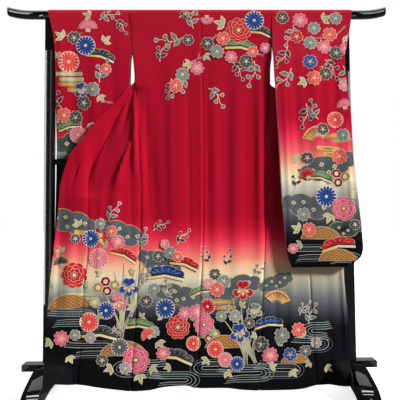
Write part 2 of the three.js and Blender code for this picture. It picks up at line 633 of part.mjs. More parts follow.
/** A straight bar along X with cut corners, between two ends. */
function straightBar(fromX, toX, { depth, height, top, chamfer }) {
  const section = chamferedRectangle(depth, height, chamfer);
  const ring = (x, inset) => section.map(([y, z]) => new THREE.Vector3(
    x,
    y * (1 - inset / depth),
    top - height / 2 + z * (1 - inset / height),
  ));
  return loft([ring(fromX, chamfer), ring(fromX + chamfer, 0), ring(toX - chamfer, 0), ring(toX, chamfer)]);
}

/** A post between the lower bar and the top bar. */
function post(x) {
  const section = chamferedRectangle(POST.width, POST.depth, POST.chamfer);
  const low = LOWER_BAR.top + JOINT_GAP;
  const high = TOP_BAR.top - TOP_BAR.height - JOINT_GAP;
  return loft([low, high].map((z) => section.map(([dx, y]) => new THREE.Vector3(x + dx, y, z))));
}

/** A foot: an arch running front to back, notched from above for the lower bar. */
function foot(x) {
  const notchY = LOWER_BAR.depth / 2 + JOINT_GAP;
  const notchZ = LOWER_BAR.top - LOWER_BAR.height - JOINT_GAP;
  const front = [
    { y: notchY, z: notchZ },
    { y: notchY, z: FOOT_TOP[0].z + 1 },
    ...FOOT_TOP,
    ...FOOT_UNDERSIDE,
  ];
  const outline = [...front, ...[...front].reverse().map(({ y, z }) => ({ y: -y, z }))];
  const shape = new THREE.Shape(outline.map(({ y, z }) => new THREE.Vector2(y, z)));
  const geometry = new THREE.ExtrudeGeometry(shape, { depth: FOOT.width, bevelEnabled: false });
  // The shape's plane is Y and Z, and it is extruded along X.
  geometry.applyMatrix4(new THREE.Matrix4().makeBasis(
    new THREE.Vector3(0, 1, 0),
    new THREE.Vector3(0, 0, 1),
    new THREE.Vector3(1, 0, 0),
  ));
  geometry.translate(x - FOOT.width / 2, 0, 0);
  return geometry;
}

// ---------------------------------------------------------------- assembly

const rack = new THREE.Group();
const innerFace = POST.x - POST.width / 2 - JOINT_GAP;
rack.add(piece('top_bar', topBar(), lacquer));
rack.add(piece('mid_bar', straightBar(-innerFace, innerFace, MID_BAR), lacquer));
rack.add(piece('lower_bar', straightBar(-LOWER_BAR.halfLength, LOWER_BAR.halfLength, LOWER_BAR), lacquer));
for (const [side, hand] of [['left', -1], ['right', 1]]) {
  rack.add(piece(`post_${side}`, post(hand * POST.x), lacquer));
  rack.add(piece(`foot_${side}`, foot(hand * FOOT.x), lacquer));
}

const garment = new THREE.Group();
garment.add(piece('back_left', backPanel(BACK_SIDE_LEFT, -1), silkRed));
garment.add(piece('back_right', backPanel(BACK_SIDE_RIGHT, 1), silkRed));
garment.add(piece('front_left', frontPanel(OPENED_LEFT), silkRed));
garment.add(piece('front_right', frontPanel(OPENED_RIGHT), silkRed));
garment.add(piece('okumi_left', okumiPanel(OPENED_LEFT), silkRed));
garment.add(piece('okumi_right', okumiPanel(OPENED_RIGHT), silkRed));
garment.add(piece('collar', collarBand(), silkCollar));
garment.add(piece('sleeve_left', sleeve(SLEEVE_LEFT), silkRed));
garment.add(piece('sleeve_right', sleeve(SLEEVE_RIGHT), silkRed));

const furisodeOnRack = new THREE.Group();
furisodeOnRack.add(rack, garment);

export default furisodeOnRack;
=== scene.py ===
"""A furisode on a lacquered kimono rack: silk, print, lining, lacquer, studio and camera.

Lengths in the tables are millimetres. A piece's mesh is in metres, in the frame of the model:
X to the viewer's right, Y away from the viewer, Z up, with the origin on the floor.
"""

from __future__ import annotations

import json
import logging
import math
from collections.abc import Callable
from dataclasses import dataclass, replace
from enum import Enum

import bmesh
import bpy
import numpy as np
from mathutils import Matrix, Vector
from mathutils.bvhtree import BVHTree

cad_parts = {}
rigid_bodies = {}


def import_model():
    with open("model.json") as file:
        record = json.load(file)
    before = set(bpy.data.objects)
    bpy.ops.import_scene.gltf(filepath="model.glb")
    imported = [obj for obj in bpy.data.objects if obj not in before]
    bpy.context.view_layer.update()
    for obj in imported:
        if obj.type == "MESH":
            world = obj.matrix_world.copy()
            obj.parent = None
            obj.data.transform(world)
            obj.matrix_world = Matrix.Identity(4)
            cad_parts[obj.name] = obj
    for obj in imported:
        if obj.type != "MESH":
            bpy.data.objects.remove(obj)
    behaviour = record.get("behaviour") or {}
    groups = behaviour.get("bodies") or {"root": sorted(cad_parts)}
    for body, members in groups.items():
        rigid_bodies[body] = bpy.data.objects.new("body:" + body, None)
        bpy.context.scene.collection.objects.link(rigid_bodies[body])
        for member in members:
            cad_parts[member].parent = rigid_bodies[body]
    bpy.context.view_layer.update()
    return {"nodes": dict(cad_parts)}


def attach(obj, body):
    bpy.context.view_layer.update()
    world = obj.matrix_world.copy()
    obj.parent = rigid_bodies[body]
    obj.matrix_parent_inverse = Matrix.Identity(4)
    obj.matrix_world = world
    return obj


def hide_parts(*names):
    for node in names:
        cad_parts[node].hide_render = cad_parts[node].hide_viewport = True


log = logging.getLogger("furisode")

Array = np.ndarray
Material = bpy.types.Material
Piece = bpy.types.Object
Socket = bpy.types.NodeSocket

MM = 0.001
SMOOTH_CLOTH, SMOOTH_PRINT, SMOOTH_LACQUER = 40.0, 60.0, 35.0  # degrees


def linked(name: str, data: bpy.types.ID) -> Piece:
    """A new object of the scene that holds some data."""
    piece = bpy.data.objects.new(name, data)
    bpy.context.scene.collection.objects.link(piece)
    return piece


def choose(piece: Piece | None) -> None:
    """Makes one object, or none, the only selected and active one."""
    for other in bpy.context.scene.objects:
        other.select_set(False)
    if piece is not None:
        piece.select_set(True)
    bpy.context.view_layer.objects.active = piece


def smooth(degrees: float) -> None:
    """Shades the active piece smooth, apart from edges sharper than an angle."""
    bpy.ops.object.shade_smooth_by_angle(angle=math.radians(degrees))


def modify(piece: Piece, kind: str, **settings: object) -> None:
    """Gives the active piece a modifier with some settings, and applies it."""
    modifier = piece.modifiers.new(kind.lower(), kind)
    for name, value in settings.items():
        setattr(modifier, name, value)
    bpy.ops.object.modifier_apply(modifier=modifier.name)


# ---- tables


class Table:
    """Rows of numbers with named columns, read on smooth curves between the rows."""

    def __init__(self, columns: str, rows: list[tuple[float, ...]]) -> None:
        """Keeps the rows in the order of their first column.

        Args:
            columns: Names of the columns, with the key first.
            rows: One tuple for each row.
        """
        values = np.array(sorted(rows), dtype=float)
        self.keys = values[:, 0]
        self.columns = dict(zip(columns.split(), values.T))

    def read(self, column: str, at: Array | float) -> Array:
        """Values of a column at some keys, on a curve that never overshoots its rows.

        Args:
            column: Name of the column.
            at: Keys to read at.

        Returns:
            One value for each key.
        """
        x, y = self.keys, self.columns[column]
        at = np.clip(np.asarray(at, dtype=float), x[0], x[-1])
        rise = np.diff(y) / np.diff(x)
        slope = np.zeros(len(x))
        slope[0], slope[-1] = rise[0], rise[-1]
        product = rise[:-1] * rise[1:]
        total = np.where(rise[:-1] + rise[1:] == 0, 1, rise[:-1] + rise[1:])
        slope[1:-1] = np.where(product > 0, 2 * product / total, 0)
        i = np.clip(np.searchsorted(x, at, side="right") - 1, 0, len(x) - 2)
        span = x[i + 1] - x[i]
        t = (at - x[i]) / span
        blend = t * t * (3 - 2 * t)
        start = slope[i] * span * t * (1 - t) ** 2
        end = slope[i + 1] * span * t * t * (1 - t)
        return y[i] + (y[i + 1] - y[i]) * blend + start - end


SHOULDER = 1693.2
HEM_LEVEL = 25.0
SAG_FROM = 600.0  # the hem's sag begins at this level
NEAR_SIDE = -21.0  # cloth with a smaller Y hangs on the near side
BODY_TOP = 1650.0  # the body's rows below the bar begin here
BODY_STEP = 10.0  # and lie this far apart
CENTRE_X = 10.0
COLLAR_WIDTH = 55.0
COLLAR_COLUMNS = 10
NECK_HALF_WIDTH = 91.0
KENSAKI = 1175.0
COLLAR_END = 886.0
CUFF = 1460.0
DIP_DEPTH, DIP_REACH = 2.2, 4.0  # how a seam draws in the cloth beside it
SEAM_OVERLAP = -0.25  # sewn edges run this far past their seam, into its crease
FIRST_STEP = 2.0  # from a piece's edge to the next column
CLOTH_WALL = 1.2
COLUMN_STEP = 8.0  # from one column of a piece to the next, away from its edges
FOLDS_FADE = (20.0, 27.0)  # the folds grow as the cloth comes this far forward
TUCK_LEVELS = (1335.0, 1385.0)  # a front is tucked behind the back panel below these levels
TUCK = 1.4  # a front's side edge lies this far behind and inside the back panel's

OVER_BAR = Table(
    "down out z",
    [(0, 0.6, SHOULDER), (5, 5.5, 1692.8), (10, 10, 1691.2), (15, 14.6, 1688.4),
     (21, 18, 1684), (27, 19.7, 1678), (33, 20, 1672)],
)
BEHIND_NECK = Table(
    "down out z",
    [(0, 0.6, SHOULDER), (10, 10, 1691.4), (20, 18.8, 1684.6), (31, 20.5, 1672),
     (53, 23, 1650), (60, 24, 1643)],
)
SIDE_LEFT = Table(
    "z x y",
    [(1693, -310, -20), (1582, -299, -20), (1497, -294, -22), (1438, -287, -24),
     (1353, -281, -27), (1210, -274, -31), (1099, -263, -33), (984, -258, -34),
     (874, -253, -35), (487, -268, -38), (13, -300, -42)],
)
SIDE_RIGHT = Table(
    "z x y",
    [(1693, 332, -20), (1477, 329, -22), (1423, 322, -24), (1351, 319, -27),
     (1212, 307, -30), (1060, 293, -30), (860, 290, -31), (699, 287, -33),
     (395, 270, -38), (13, 254, -42)],
)
CENTRE_BACK = Table(
    "z x y",
    [(1693, 10, -20), (1450, 16, -24), (1141, 19, -30), (701, 15, -36), (398, 0, -40),
     (23, -16, -46)],
)
OPENED = "z side_x side_y seam_x seam_y sewn_x sewn_y free_x free_y"
OPENED_LEFT = Table(
    OPENED,
    [(1676, -309, 20, -82, 20, -82, 20, -28, 22),
     (1620, -303, 21, -105, 22, -105, 22, -48, 26),
     (1540, -297, 21, -160, 27, -160, 27, -106, 33),
     (1460, -292, 15, -215, 30, -215, 30, -170, 37),
     (1422, -287, 2, -252, 23, -252, 23, -230, 36),
     (1389, -284, -13, -273, 5, -273, 5, -264, 19),
     (1363, -284, -24, -286, -8, -286, -8, -288, 7),
     (1338, -283, -29, -296, -22, -296, -22, -312, -20),
     (1305, -280, -30, -303, -33, -303, -33, -336, -34),
     (1247, -277, -31, -340, -38, -340, -38, -389, -42),
     (1190, -273, -32, -369, -42, -370, -42, -445, -46),
     (1105, -263, -33, -411, -44, -429, -45, -507, -47),
     (1045, -260, -34, -439, -45, -484, -46, -558, -45),
     (990, -258, -34, -468, -45, -519, -44, -581, -41),
     (936, -256, -35, -484, -44, -541, -41, -598, -37),
     (886, -253, -35, -486, -43, -557, -39, -609, -35),
     (840, -253, -35, -484, -43, -557, -39, -611, -34),
     (628, -262, -37, -484, -42, -557, -38, -632, -34),
     (487, -268, -38, -499, -42, -557, -38, -646, -34),
     (262, -284, -40, -511, -43, -557, -39, -664, -36),
     (13, -300, -42, -531, -46, -557, -42, -676, -40)],
)
OPENED_RIGHT = Table(
    OPENED,
    [(1676, 331, 20, 102, 20, 102, 20, 48, 22),
     (1620, 330, 21, 125, 22, 125, 22, 68, 26),
     (1540, 330, 21, 190, 27, 190, 27, 136, 33),
     (1460, 328, 14, 250, 30, 250, 30, 205, 37),
     (1410, 324, 1, 289, 22, 289, 22, 267, 35),
     (1375, 322, -14, 311, 4, 311, 4, 302, 18),
     (1350, 322, -23, 324, -7, 324, -7, 326, 8),
     (1330, 320, -28, 334, -20, 334, -20, 350, -14),
     (1305, 317, -29, 341, -25, 341, -25, 374, -22),
     (1247, 311, -30, 376, -26, 376, -26, 427, -24),
     (1190, 306, -30, 407, -26, 408, -26, 483, -25),
     (1105, 298, -30, 449, -26, 467, -26, 541, -25),
     (1045, 293, -30, 477, -26, 522, -26, 592, -25),
     (990, 292, -30, 500, -26, 555, -26, 610, -25),
     (936, 291, -31, 506, -26, 570, -26, 620, -25),
     (886, 290, -31, 503, -26, 575, -26, 626, -25),
     (840, 290, -31, 499, -27, 575, -26, 627, -26),
     (628, 284, -34, 483, -31, 575, -28, 628, -27),
     (534, 278, -36, 480, -34, 575, -30, 628, -29),
     (328, 267, -39, 485, -38, 575, -34, 642, -32),
     (13, 254, -42, 498, -44, 575, -40, 650, -38)],
)
HEM = Table(
    "x z",
    [(-700, 46), (-611, 45), (-531, 49), (-431, 34), (-344, 22), (-300, 17), (-229, 20),
     (-148, 35), (-67, 39), (-16, 28), (108, 26), (181, 17), (254, 13), (378, 14),
     (440, 19), (497, 32), (550, 35), (700, 33)],
)
SLEEVE = "z inner near_outer far_outer near_y far_y"
SLEEVE_LEFT = Table(
    SLEEVE,
    [(1693, -312, -668, -666, -20, 20), (1650, -307.5, -661, -660, -20.5, 22),
     (1585, -301, -647, -647, -20.5, 24), (1520, -297, -639, -638, -20, 24),
     (1460, -303, -636, -636, -18, 24), (1330, -307, -635, -635, -11, 24),
     (1190, -313, -636, -636, 3, 28), (1060, -320, -637, -637, 18, 36),
     (829, -330, -642, -642, 24, 40), (622, -344, -645, -645, 26, 40),
     (588, -350, -638, -638, 26, 40), (563, -357, -614, -614, 27, 40),
     (545, -363, -580, -580, 28, 39)],
)
SLEEVE_RIGHT = Table(
    SLEEVE,
    [(1693, 334, 694, 628, -20, 20), (1650, 333, 690, 628, -21, 20),
     (1585, 332, 679, 629, -26, 12), (1520, 332, 664, 630, -34, -9),
     (1460, 333.5, 651, 649, -44, -32), (1398, 335, 650, 650, -50, -37),
     (1330, 339, 655, 655, -55, -40), (1190, 345, 667, 667, -60, -42),
     (1060, 350, 670, 670, -63, -44), (829, 358, 687, 687, -66, -48),
     (720, 367, 697, 697, -67, -50), (622, 374, 703, 703, -67, -52),
     (588, 379, 696, 696, -67, -53), (563, 386, 672, 672, -67, -54),
     (545, 394, 636, 636, -66, -55)],
)
SLEEVE_BOTTOM, SLEEVE_ROWS = 545.0, 110
SLEEVE_BOTTOM_DROP = 6.0
SETTLE_FROM, SETTLE_RUN = 1660.0, 120.0  # a sleeve's folds grow from this level down, over this run
SLEEVE_CALM = 700.0  # and fade from this level to the bottom edge
OVER_LEFT_FOOT = Table(
    "t y z", [(0, -38, 160), (0.26, -57, 128), (0.46, -80, 115), (0.73, -115, 103), (1, -150, 88.5)]
)
OVER_RIGHT_FOOT = Table(
    "t y z",
    [(0, -38, 160), (0.26, -57, 128), (0.46, -80, 113.5), (0.61, -92, 97), (0.75, -97, 78), (1, -98, 46)],
)
OVER_FOOT_START, OVER_FOOT_FROM, OVER_FOOT_TO = 160.0, 540.0, 622.0
OVER_FOOT_HANGING, OVER_FOOT_DRAW_IN = -38.0, 0.49 / 1000


def share_down(z: Array, top: float, bottom: float) -> Array:
    """How far down heights lie between two levels, as a share from 0 to 1."""
    return np.clip((top - z) / (top - bottom), 0, 1)


@dataclass(frozen=True)
class Fold:
    """A long soft fold of the hanging cloth, towards the viewer where its depth is positive."""

    top_x: float
    low_x: float
    half_width: float
    depth: float
    top: float
    bottom: float
    low_width: float = 0.0

    def relief(self, x: Array, z: Array) -> Array:
        """How far the fold brings the cloth forward at some places.

        Args:
            x: Places across, in millimetres.
            z: Heights, in millimetres.

        Returns:
            The fold's relief at each place, in millimetres.
        """
        down = share_down(z, self.top, self.bottom)
        centre = self.top_x + (self.low_x - self.top_x) * down
        low = self.low_width or self.half_width
        away = (x - centre) / (self.half_width + (low - self.half_width) * down)
        bump = np.where(np.abs(away) < 1, (1 - np.minimum(away**2, 1)) ** 2, 0)
        return self.depth * np.sin(math.pi * down) ** 0.8 * bump


@dataclass(frozen=True)
class Crease:
    """A sharp crease of the cloth along a line of the garment, with a slope on each of its sides."""

    lines: Table
    column: str
    depth: float
    left: float
    right: float
    top: float
    bottom: float

    def relief(self, x: Array, z: Array) -> Array:
        """How far the crease brings the cloth forward, which is less than nothing.

        Args:
            x: Places across, in millimetres.
            z: Heights, in millimetres.

        Returns:
            The crease's relief at each place, in millimetres.
        """
        down = share_down(z, self.top, self.bottom)
        away = x - self.lines.read(self.column, z)
        slope = np.where(away < 0, -away / self.left, away / self.right)
        return -self.depth * np.sin(math.pi * down) ** 0.6 * np.exp(-slope)


def folds(*rows: tuple[float, ...]) -> list[Fold]:
    """Folds from rows of their fields."""
    return [Fold(*row) for row in rows]


BODY_FOLDS = [
    Crease(OPENED_LEFT, "seam_x", 33, 70, 48, 1338, 850),
    Crease(OPENED_LEFT, "seam_x", 3, 7, 7, 900, -400),
    Crease(OPENED_RIGHT, "seam_x", 3, 7, 7, 700, -300),
    Crease(CENTRE_BACK, "x", 2.6, 6, 6, 1800, -300),
    Crease(SIDE_LEFT, "x", 3, 7, 7, 1000, -400),
    Crease(SIDE_RIGHT, "x", 3, 7, 7, 1300, -400),
    *folds(
        (-175, -160, 46, -3.5, 1600, 420), (-95, -95, 54, 3.2, 1560, 350), (12, 12, 26, 2.4, 1640, 200),
        (38, 36, 28, -2.8, 1500, 500), (72, 70, 34, 2.8, 1400, 450), (128, 118, 40, -4.4, 1560, 420),
        (172, 162, 36, 3.4, 1420, 450), (232, 222, 36, -3.8, 1400, 500), (270, 262, 22, 6, 1450, 560),
    ),
    Crease(SIDE_RIGHT, "x", 22, 4, 60, 1352, 1070),
    Crease(SIDE_RIGHT, "x", 16, 4, 60, 1016, 700),
    *folds(
        (352, 366, 46, -14, 1190, 560), (-225, -200, 44, -10, 1270, 640), (-281, -281, 18, 15, 1310, 930),
        (-287, -346, 10, -8, 1336, 1110, 28), (-286, -372, 14, 14, 1130, 880, 22),
        (-330, -400, 40, 8, 1080, 560), (-400, -470, 26, 6, 1180, 900), (-500, -520, 44, 8, 1120, 700),
        (-545, -575, 36, 6, 980, 260), (-300, -296, 16, -3, 1000, 640), (-232, -226, 14, -2.5, 1330, 760),
        (-128, -120, 12, 2.5, 1500, 700), (-48, -40, 14, -2.5, 1420, 560), (95, 92, 10, -2.5, 1380, 640),
        (150, 142, 11, 2.5, 1250, 560), (204, 196, 12, -2.5, 1300, 600), (-420, -440, 18, 3, 960, 420),
        (-600, -625, 14, -3.5, 830, 240), (-520, -560, 9, -4, 1010, 900, 14), (618, 632, 9, 4, 700, 30),
        (600, 612, 9, -2.5, 640, 60), (330, 322, 20, -3, 560, 60), (400, 398, 24, 3, 560, 40),
        (555, 560, 22, -3, 560, 60),
    ),
]
SLEEVE_FOLDS = folds(
    (420, 440, 26, -3.5, 1600, 700), (505, 520, 34, 4, 1640, 640), (590, 612, 26, -3.5, 1600, 640),
    (372, 392, 14, 3, 1400, 600), (640, 668, 14, 3, 1200, 600), (-380, -384, 30, -3, 1640, 1100),
    (-460, -470, 34, 3.5, 1640, 1000), (-545, -560, 28, -3.5, 1660, 1120),
    (-612, -606, 18, 3, 1640, 1200),
)


def smoothstep(value: Array, low: float, high: float) -> Array:
    """Smooth rise from 0 at low to 1 at high."""
    t = np.clip((value - low) / (high - low), 0, 1)
    return t * t * (3 - 2 * t)


def spaced(width: float, step: float) -> Array:
    """Places from 0 to 1 across a piece, closer together at its edges.

    Args:
        width: The piece's width in millimetres.
        step: The usual distance between places.

    Returns:
        The places as shares of the width.
    """
    count = max(6, round(width / step) + 4)
    t = np.linspace(0, 1, count)
    ease = 0.5 - 0.5 * np.cos(math.pi * t)
    mix = np.clip(FIRST_STEP * count / width, 0.15, 0.9)
    return mix * t + (1 - mix) * ease


# ---- colours


def linear(red: int, green: int, blue: int) -> tuple[float, float, float, float]:
    """Linear colour of an sRGB one given in 0 to 255."""
    def channel(value: int) -> float:
        """Linear value of one sRGB channel."""
        share = value / 255
        return share / 12.92 if share <= 0.04045 else ((share + 0.055) / 1.055) ** 2.4

    return channel(red), channel(green), channel(blue), 1.0


class Dye(Enum):
    """The dyes of the print."""

    CORAL = linear(236, 104, 92)
    ROSE = linear(214, 84, 116)
    BLUSH = linear(236, 150, 152)
    VERMILION = linear(208, 40, 42)
    WINE = linear(140, 24, 50)
    ROYAL = linear(44, 88, 162)
    NAVY = linear(32, 48, 92)
    TEAL = linear(132, 152, 142)
    CHARCOAL = linear(78, 88, 84)
    SLATE = linear(92, 96, 104)
    SILVER = linear(160, 166, 162)
    CREAM = linear(232, 222, 184)
    LEAF = linear(214, 206, 160)
    SAGE = linear(148, 156, 116)
    PINE = linear(50, 112, 62)
    GOLD = linear(224, 180, 84)
    BRONZE = linear(160, 112, 66)
    PLUM = linear(80, 50, 84)
    LINE = linear(232, 206, 188)
    INK = linear(24, 24, 30)


# ---- materials

CREPE_GRAINS = 620.0  # the crepe's grains in a metre


class Nodes:
    """A node tree with short ways to add and join its nodes."""

    def __init__(self, name: str) -> None:
        """Starts a material of this name with an empty tree."""
        self.material = bpy.data.materials.new(name)
        self.material.use_nodes = True
        self.tree = self.material.node_tree
        self.tree.nodes.clear()
        output = self.add("ShaderNodeOutputMaterial")
        self.shader = self.add("ShaderNodeBsdfPrincipled")
        self.feed(output.inputs["Surface"], self.shader.outputs["BSDF"])

    def add(self, kind: str, **settings: object) -> bpy.types.Node:
        """Adds a node with some of its properties set."""
        node = self.tree.nodes.new(kind)
        for name, value in settings.items():
            setattr(node, name, value)
        return node

    def feed(self, target: Socket, value: object) -> None:
        """Links a socket to an input, or gives the input a value."""
        if isinstance(value, Socket):
            self.tree.links.new(value, target)
        else:
            target.default_value = value

    def shade(self, **values: object) -> None:
        """Feeds inputs of the shader, named with an underscore for each space."""
        for name, value in values.items():
            self.feed(self.shader.inputs[name.replace("_", " ")], value)

    def place(self) -> Socket:
        """The object's own coordinates, in metres."""
        return self.add("ShaderNodeTexCoord").outputs["Object"]

    def noise(self, scale: float, detail: float = 2.0, stretch: tuple = (1, 1, 1)) -> Socket:
        """Noise on the object's own coordinates.

        Args:
            scale: Grains in a metre.
            detail: Finer octaves.
            stretch: Scale along each axis.

        Returns:
            The noise's value socket.
        """
        mapping = self.add("ShaderNodeMapping")
        self.feed(mapping.inputs["Scale"], stretch)
        self.feed(mapping.inputs["Vector"], self.place())
        noise = self.add("ShaderNodeTexNoise")
        self.feed(noise.inputs["Scale"], scale)
        self.feed(noise.inputs["Detail"], detail)
        self.feed(noise.inputs["Vector"], mapping.outputs["Vector"])
        return noise.outputs["Fac"]

    def math(self, operation: str, *values: object) -> Socket:
        """A Math node on some sockets or numbers."""
        node = self.add("ShaderNodeMath", operation=operation)
        for socket, value in zip(node.inputs, values):
            self.feed(socket, value)
        return node.outputs[0]

    def ramp(self, factor: Socket, stops: list) -> Socket:
        """A colour ramp over a factor, from stops of (position, colour)."""
        node = self.add("ShaderNodeValToRGB")
        elements = node.color_ramp.elements
        while len(elements) < len(stops):
            elements.new(0.5)
        for element, (position, colour) in zip(elements, stops):
            element.position = position
            element.color = colour
        self.feed(node.inputs["Fac"], factor)
        return node.outputs["Color"]

    def tint(self, colour: Socket, amount: Socket) -> Socket:
        """A colour made lighter or darker by a factor socket near 1."""
        node = self.add("ShaderNodeVectorMath", operation="SCALE")
        self.feed(node.inputs[0], colour)
        self.feed(node.inputs["Scale"], amount)
        return node.outputs[0]

    def bump(self, height: Socket, strength: float, distance: float) -> None:
        """Bumps the shader's normal by a height."""
        node = self.add("ShaderNodeBump")
        self.feed(node.inputs["Strength"], strength)
        self.feed(node.inputs["Distance"], distance)
        self.feed(node.inputs["Height"], height)
        self.shade(Normal=node.outputs["Normal"])

    def crepe(self, roughness: float) -> None:
        """Gives the shader the fine grain of silk crepe."""
        grain = self.noise(CREPE_GRAINS, 3, (1, 1, 1.7))
        rough = self.math("MULTIPLY_ADD", grain, 0.16, roughness - 0.08)
        self.shade(Roughness=rough, Specular_IOR_Level=0.06)
        self.bump(grain, 0.22, 0.0005)


@dataclass(frozen=True)
class Silk:
    """Dyed silk crepe, whose colour changes with height."""

    name: str
    stops: tuple  # (height in mm, (r, g, b)) from the top down
    roughness: float = 0.5
    sheen: float = 0.015
    waver: float = 16.0  # how far the brushed colour changes waver, in mm

    def make(self) -> Material:
        """Builds the material.

        Returns:
            The silk's material.
        """
        n = Nodes(self.name)
        low, high = self.stops[-1][0], self.stops[0][0]
        split = n.add("ShaderNodeSeparateXYZ")
        n.feed(split.inputs[0], n.place())
        swing = n.math("SUBTRACT", n.noise(7, 3, (1, 1, 0.5)), 0.5)
        height = n.math("ADD", split.outputs["Z"], n.math("MULTIPLY", swing, 2 * self.waver * MM))
        share = n.add("ShaderNodeMapRange")
        for name, value in (("From Min", low * MM), ("From Max", high * MM), ("Value", height)):
            n.feed(share.inputs[name], value)
        ordered = [((z - low) / (high - low), linear(*c)) for z, c in reversed(self.stops)]
        colour = n.ramp(share.outputs["Result"], ordered)
        n.shade(
            Base_Color=n.tint(colour, n.math("MULTIPLY_ADD", n.noise(5, 4), 0.16, 0.92)),
            Sheen_Weight=self.sheen, Sheen_Roughness=0.4, Sheen_Tint=linear(255, 150, 150),
        )
        n.crepe(self.roughness)
        return n.material


def print_dye() -> Material:
    """The print's dyes on the silk, in the colours that each motif's own attribute holds."""
    n = Nodes("print_dyes")
    dye = n.add("ShaderNodeAttribute", attribute_name="dye").outputs["Color"]
    n.shade(Base_Color=n.tint(dye, n.math("MULTIPLY_ADD", n.noise(90, 3), 0.3, 0.85)))
    n.crepe(0.5)
    return n.material


def lacquer() -> Material:
    """Black lacquer over wood, polished, with a faint ripple and fine wear."""
    n = Nodes("black_lacquer")
    ripple = n.noise(26, 3, (0.35, 1, 1))
    n.shade(
        Base_Color=n.ramp(ripple, [(0.3, linear(8, 8, 9)), (0.75, linear(16, 16, 18))]),
        Roughness=n.math("MULTIPLY_ADD", n.noise(240, 2), 0.03, 0.015),
        Coat_Weight=0.8, Coat_Roughness=0.01,
    )
    n.bump(ripple, 0.008, 0.001)
    return n.material


RED, DEEP = (172, 14, 40), (168, 12, 38)
BODY_STOPS = (
    (1700, DEEP), (760, RED), (706, (196, 24, 52)), (660, (222, 48, 72)), (618, (236, 92, 98)),
    (576, (240, 140, 118)), (540, (242, 192, 154)), (496, (226, 212, 178)),
    (452, (178, 178, 162)), (408, (118, 120, 122)), (366, (70, 72, 78)), (322, (30, 31, 36)),
    (280, (17, 17, 20)), (0, (15, 15, 18)),
)
# painted shade: below 576 mm the right front and its overlap panel are dyed darker and greyer than the body's
# silk, standing in for the shade under the right sleeve; above that they share the body's colours
FRONT_RIGHT_SHADED_STOPS = BODY_STOPS[:6] + (
    (540, (196, 164, 134)), (496, (180, 170, 144)), (452, (152, 152, 140)), (408, (114, 116, 118)),
    (366, (82, 84, 90)), (322, (46, 48, 54)), (280, (22, 22, 26)), (0, (15, 15, 18)),
)
SLEEVE_STOPS = (
    (1700, RED), (1190, (178, 16, 44)), (1142, (206, 28, 60)), (1100, (228, 50, 80)),
    (1050, (236, 92, 98)), (1004, (240, 146, 122)), (962, (244, 200, 158)),
    (916, (236, 222, 188)), (876, (196, 194, 176)), (834, (146, 148, 146)),
    (784, (98, 100, 106)), (730, (60, 62, 68)), (684, (28, 29, 34)), (640, (17, 17, 20)),
    (500, (15, 15, 18)),
)
# the left sleeve runs from red through cream to black like the right sleeve's own dye, but some 300 mm
# higher, which is painted shade: the part that hangs behind the bar and the left front panel is dyed dark to
# stand in for its shadow
SLEEVE_LEFT_SHADED_STOPS = (
    (1700, RED), (1160, (176, 14, 42)), (1128, (214, 40, 66)), (1100, (232, 120, 110)),
    (1078, (226, 206, 170)), (1050, (140, 142, 138)), (1020, (58, 60, 64)), (985, (26, 26, 30)),
    (500, (15, 15, 18)),
)
LINING_STOPS = (
    (1700, (238, 234, 228)), (700, (236, 228, 220)), (640, (214, 130, 120)),
    (560, (158, 24, 44)), (320, (120, 26, 36)), (120, (92, 34, 34)), (0, (84, 32, 32)),
)


class Finishes:
    """Every material of the part."""

    def __init__(self) -> None:
        """Builds the materials."""
        self.body = Silk("silk_body", BODY_STOPS).make()
        # the right front's silk carries painted shade under the right sleeve
        self.front_right = Silk("silk_front_right_painted_shade", FRONT_RIGHT_SHADED_STOPS).make()
        self.sleeve_right = Silk("silk_sleeve_right", SLEEVE_STOPS).make()
        # the left sleeve's silk carries painted shade where it hangs behind the bar and the front panel
        self.sleeve_left = Silk("silk_sleeve_left_painted_shade", SLEEVE_LEFT_SHADED_STOPS).make()
        self.lining = Silk("silk_lining", LINING_STOPS, 0.6, 0.1, 6.0).make()
        self.print = print_dye()
        self.lacquer = lacquer()

    def silk_of(self, cloth: "ClothPiece") -> Material:
        """Outer silk of a piece of the garment."""
        own = {"sleeve_left": self.sleeve_left, "sleeve_right": self.sleeve_right,
               "front_right": self.front_right, "okumi_right": self.front_right}
        return own.get(cloth.node, self.body)


# ---- cloth


class Drape:
    """How the hanging cloth lies: its folds, its sagging hem and where it meets a foot."""

    @staticmethod
    def row_height(level: Array, x: Array) -> Array:
        """Height of a row of the body at x, with the hem's sag worked in near the bottom."""
        share = share_down(level, SAG_FROM, HEM_LEVEL)
        return level + (HEM.read("z", x) - HEM_LEVEL) * share**1.4

    @staticmethod
    def relief(x: Array, z: Array, folds: list) -> Array:
        """Relief of all the folds together."""
        return sum(fold.relief(x, z) for fold in folds)

    @classmethod
    def near(cls, x: Array, y: Array, level: Array) -> Array:
        """Points of the body's near side, laid forward over a foot where they hang above one.

        Args:
            x: Places across, in millimetres.
            y: Depths before the folds.
            level: Rows, as heights before the hem's sag.

        Returns:
            An array of points.
        """
        z = cls.row_height(level, x)
        fade = smoothstep(-y, *FOLDS_FADE)
        hanging = np.stack([x, y - fade * cls.relief(x, z, BODY_FOLDS), z], axis=-1)
        t = share_down(level, OVER_FOOT_START, HEM_LEVEL)
        depth, height = (np.where(x < 0, OVER_LEFT_FOOT.read(name, t), OVER_RIGHT_FOOT.read(name, t))
                         for name in ("y", "z"))
        drawn_in = x * (1 + (depth - OVER_FOOT_HANGING) * OVER_FOOT_DRAW_IN)
        lying = np.stack([drawn_in, depth, height], axis=-1)
        share = smoothstep(np.abs(x), OVER_FOOT_FROM, OVER_FOOT_TO) * (level < OVER_FOOT_START)
        return hanging + (lying - hanging) * share[..., None]


def grid_faces(down: int, across: int) -> Array:
    """Faces between neighbouring rows and columns of a grid of points."""
    grid = np.arange(down * across).reshape(down, across)
    return np.stack([grid[:-1, :-1], grid[1:, :-1], grid[1:, 1:], grid[:-1, 1:]], -1).reshape(-1, 4)


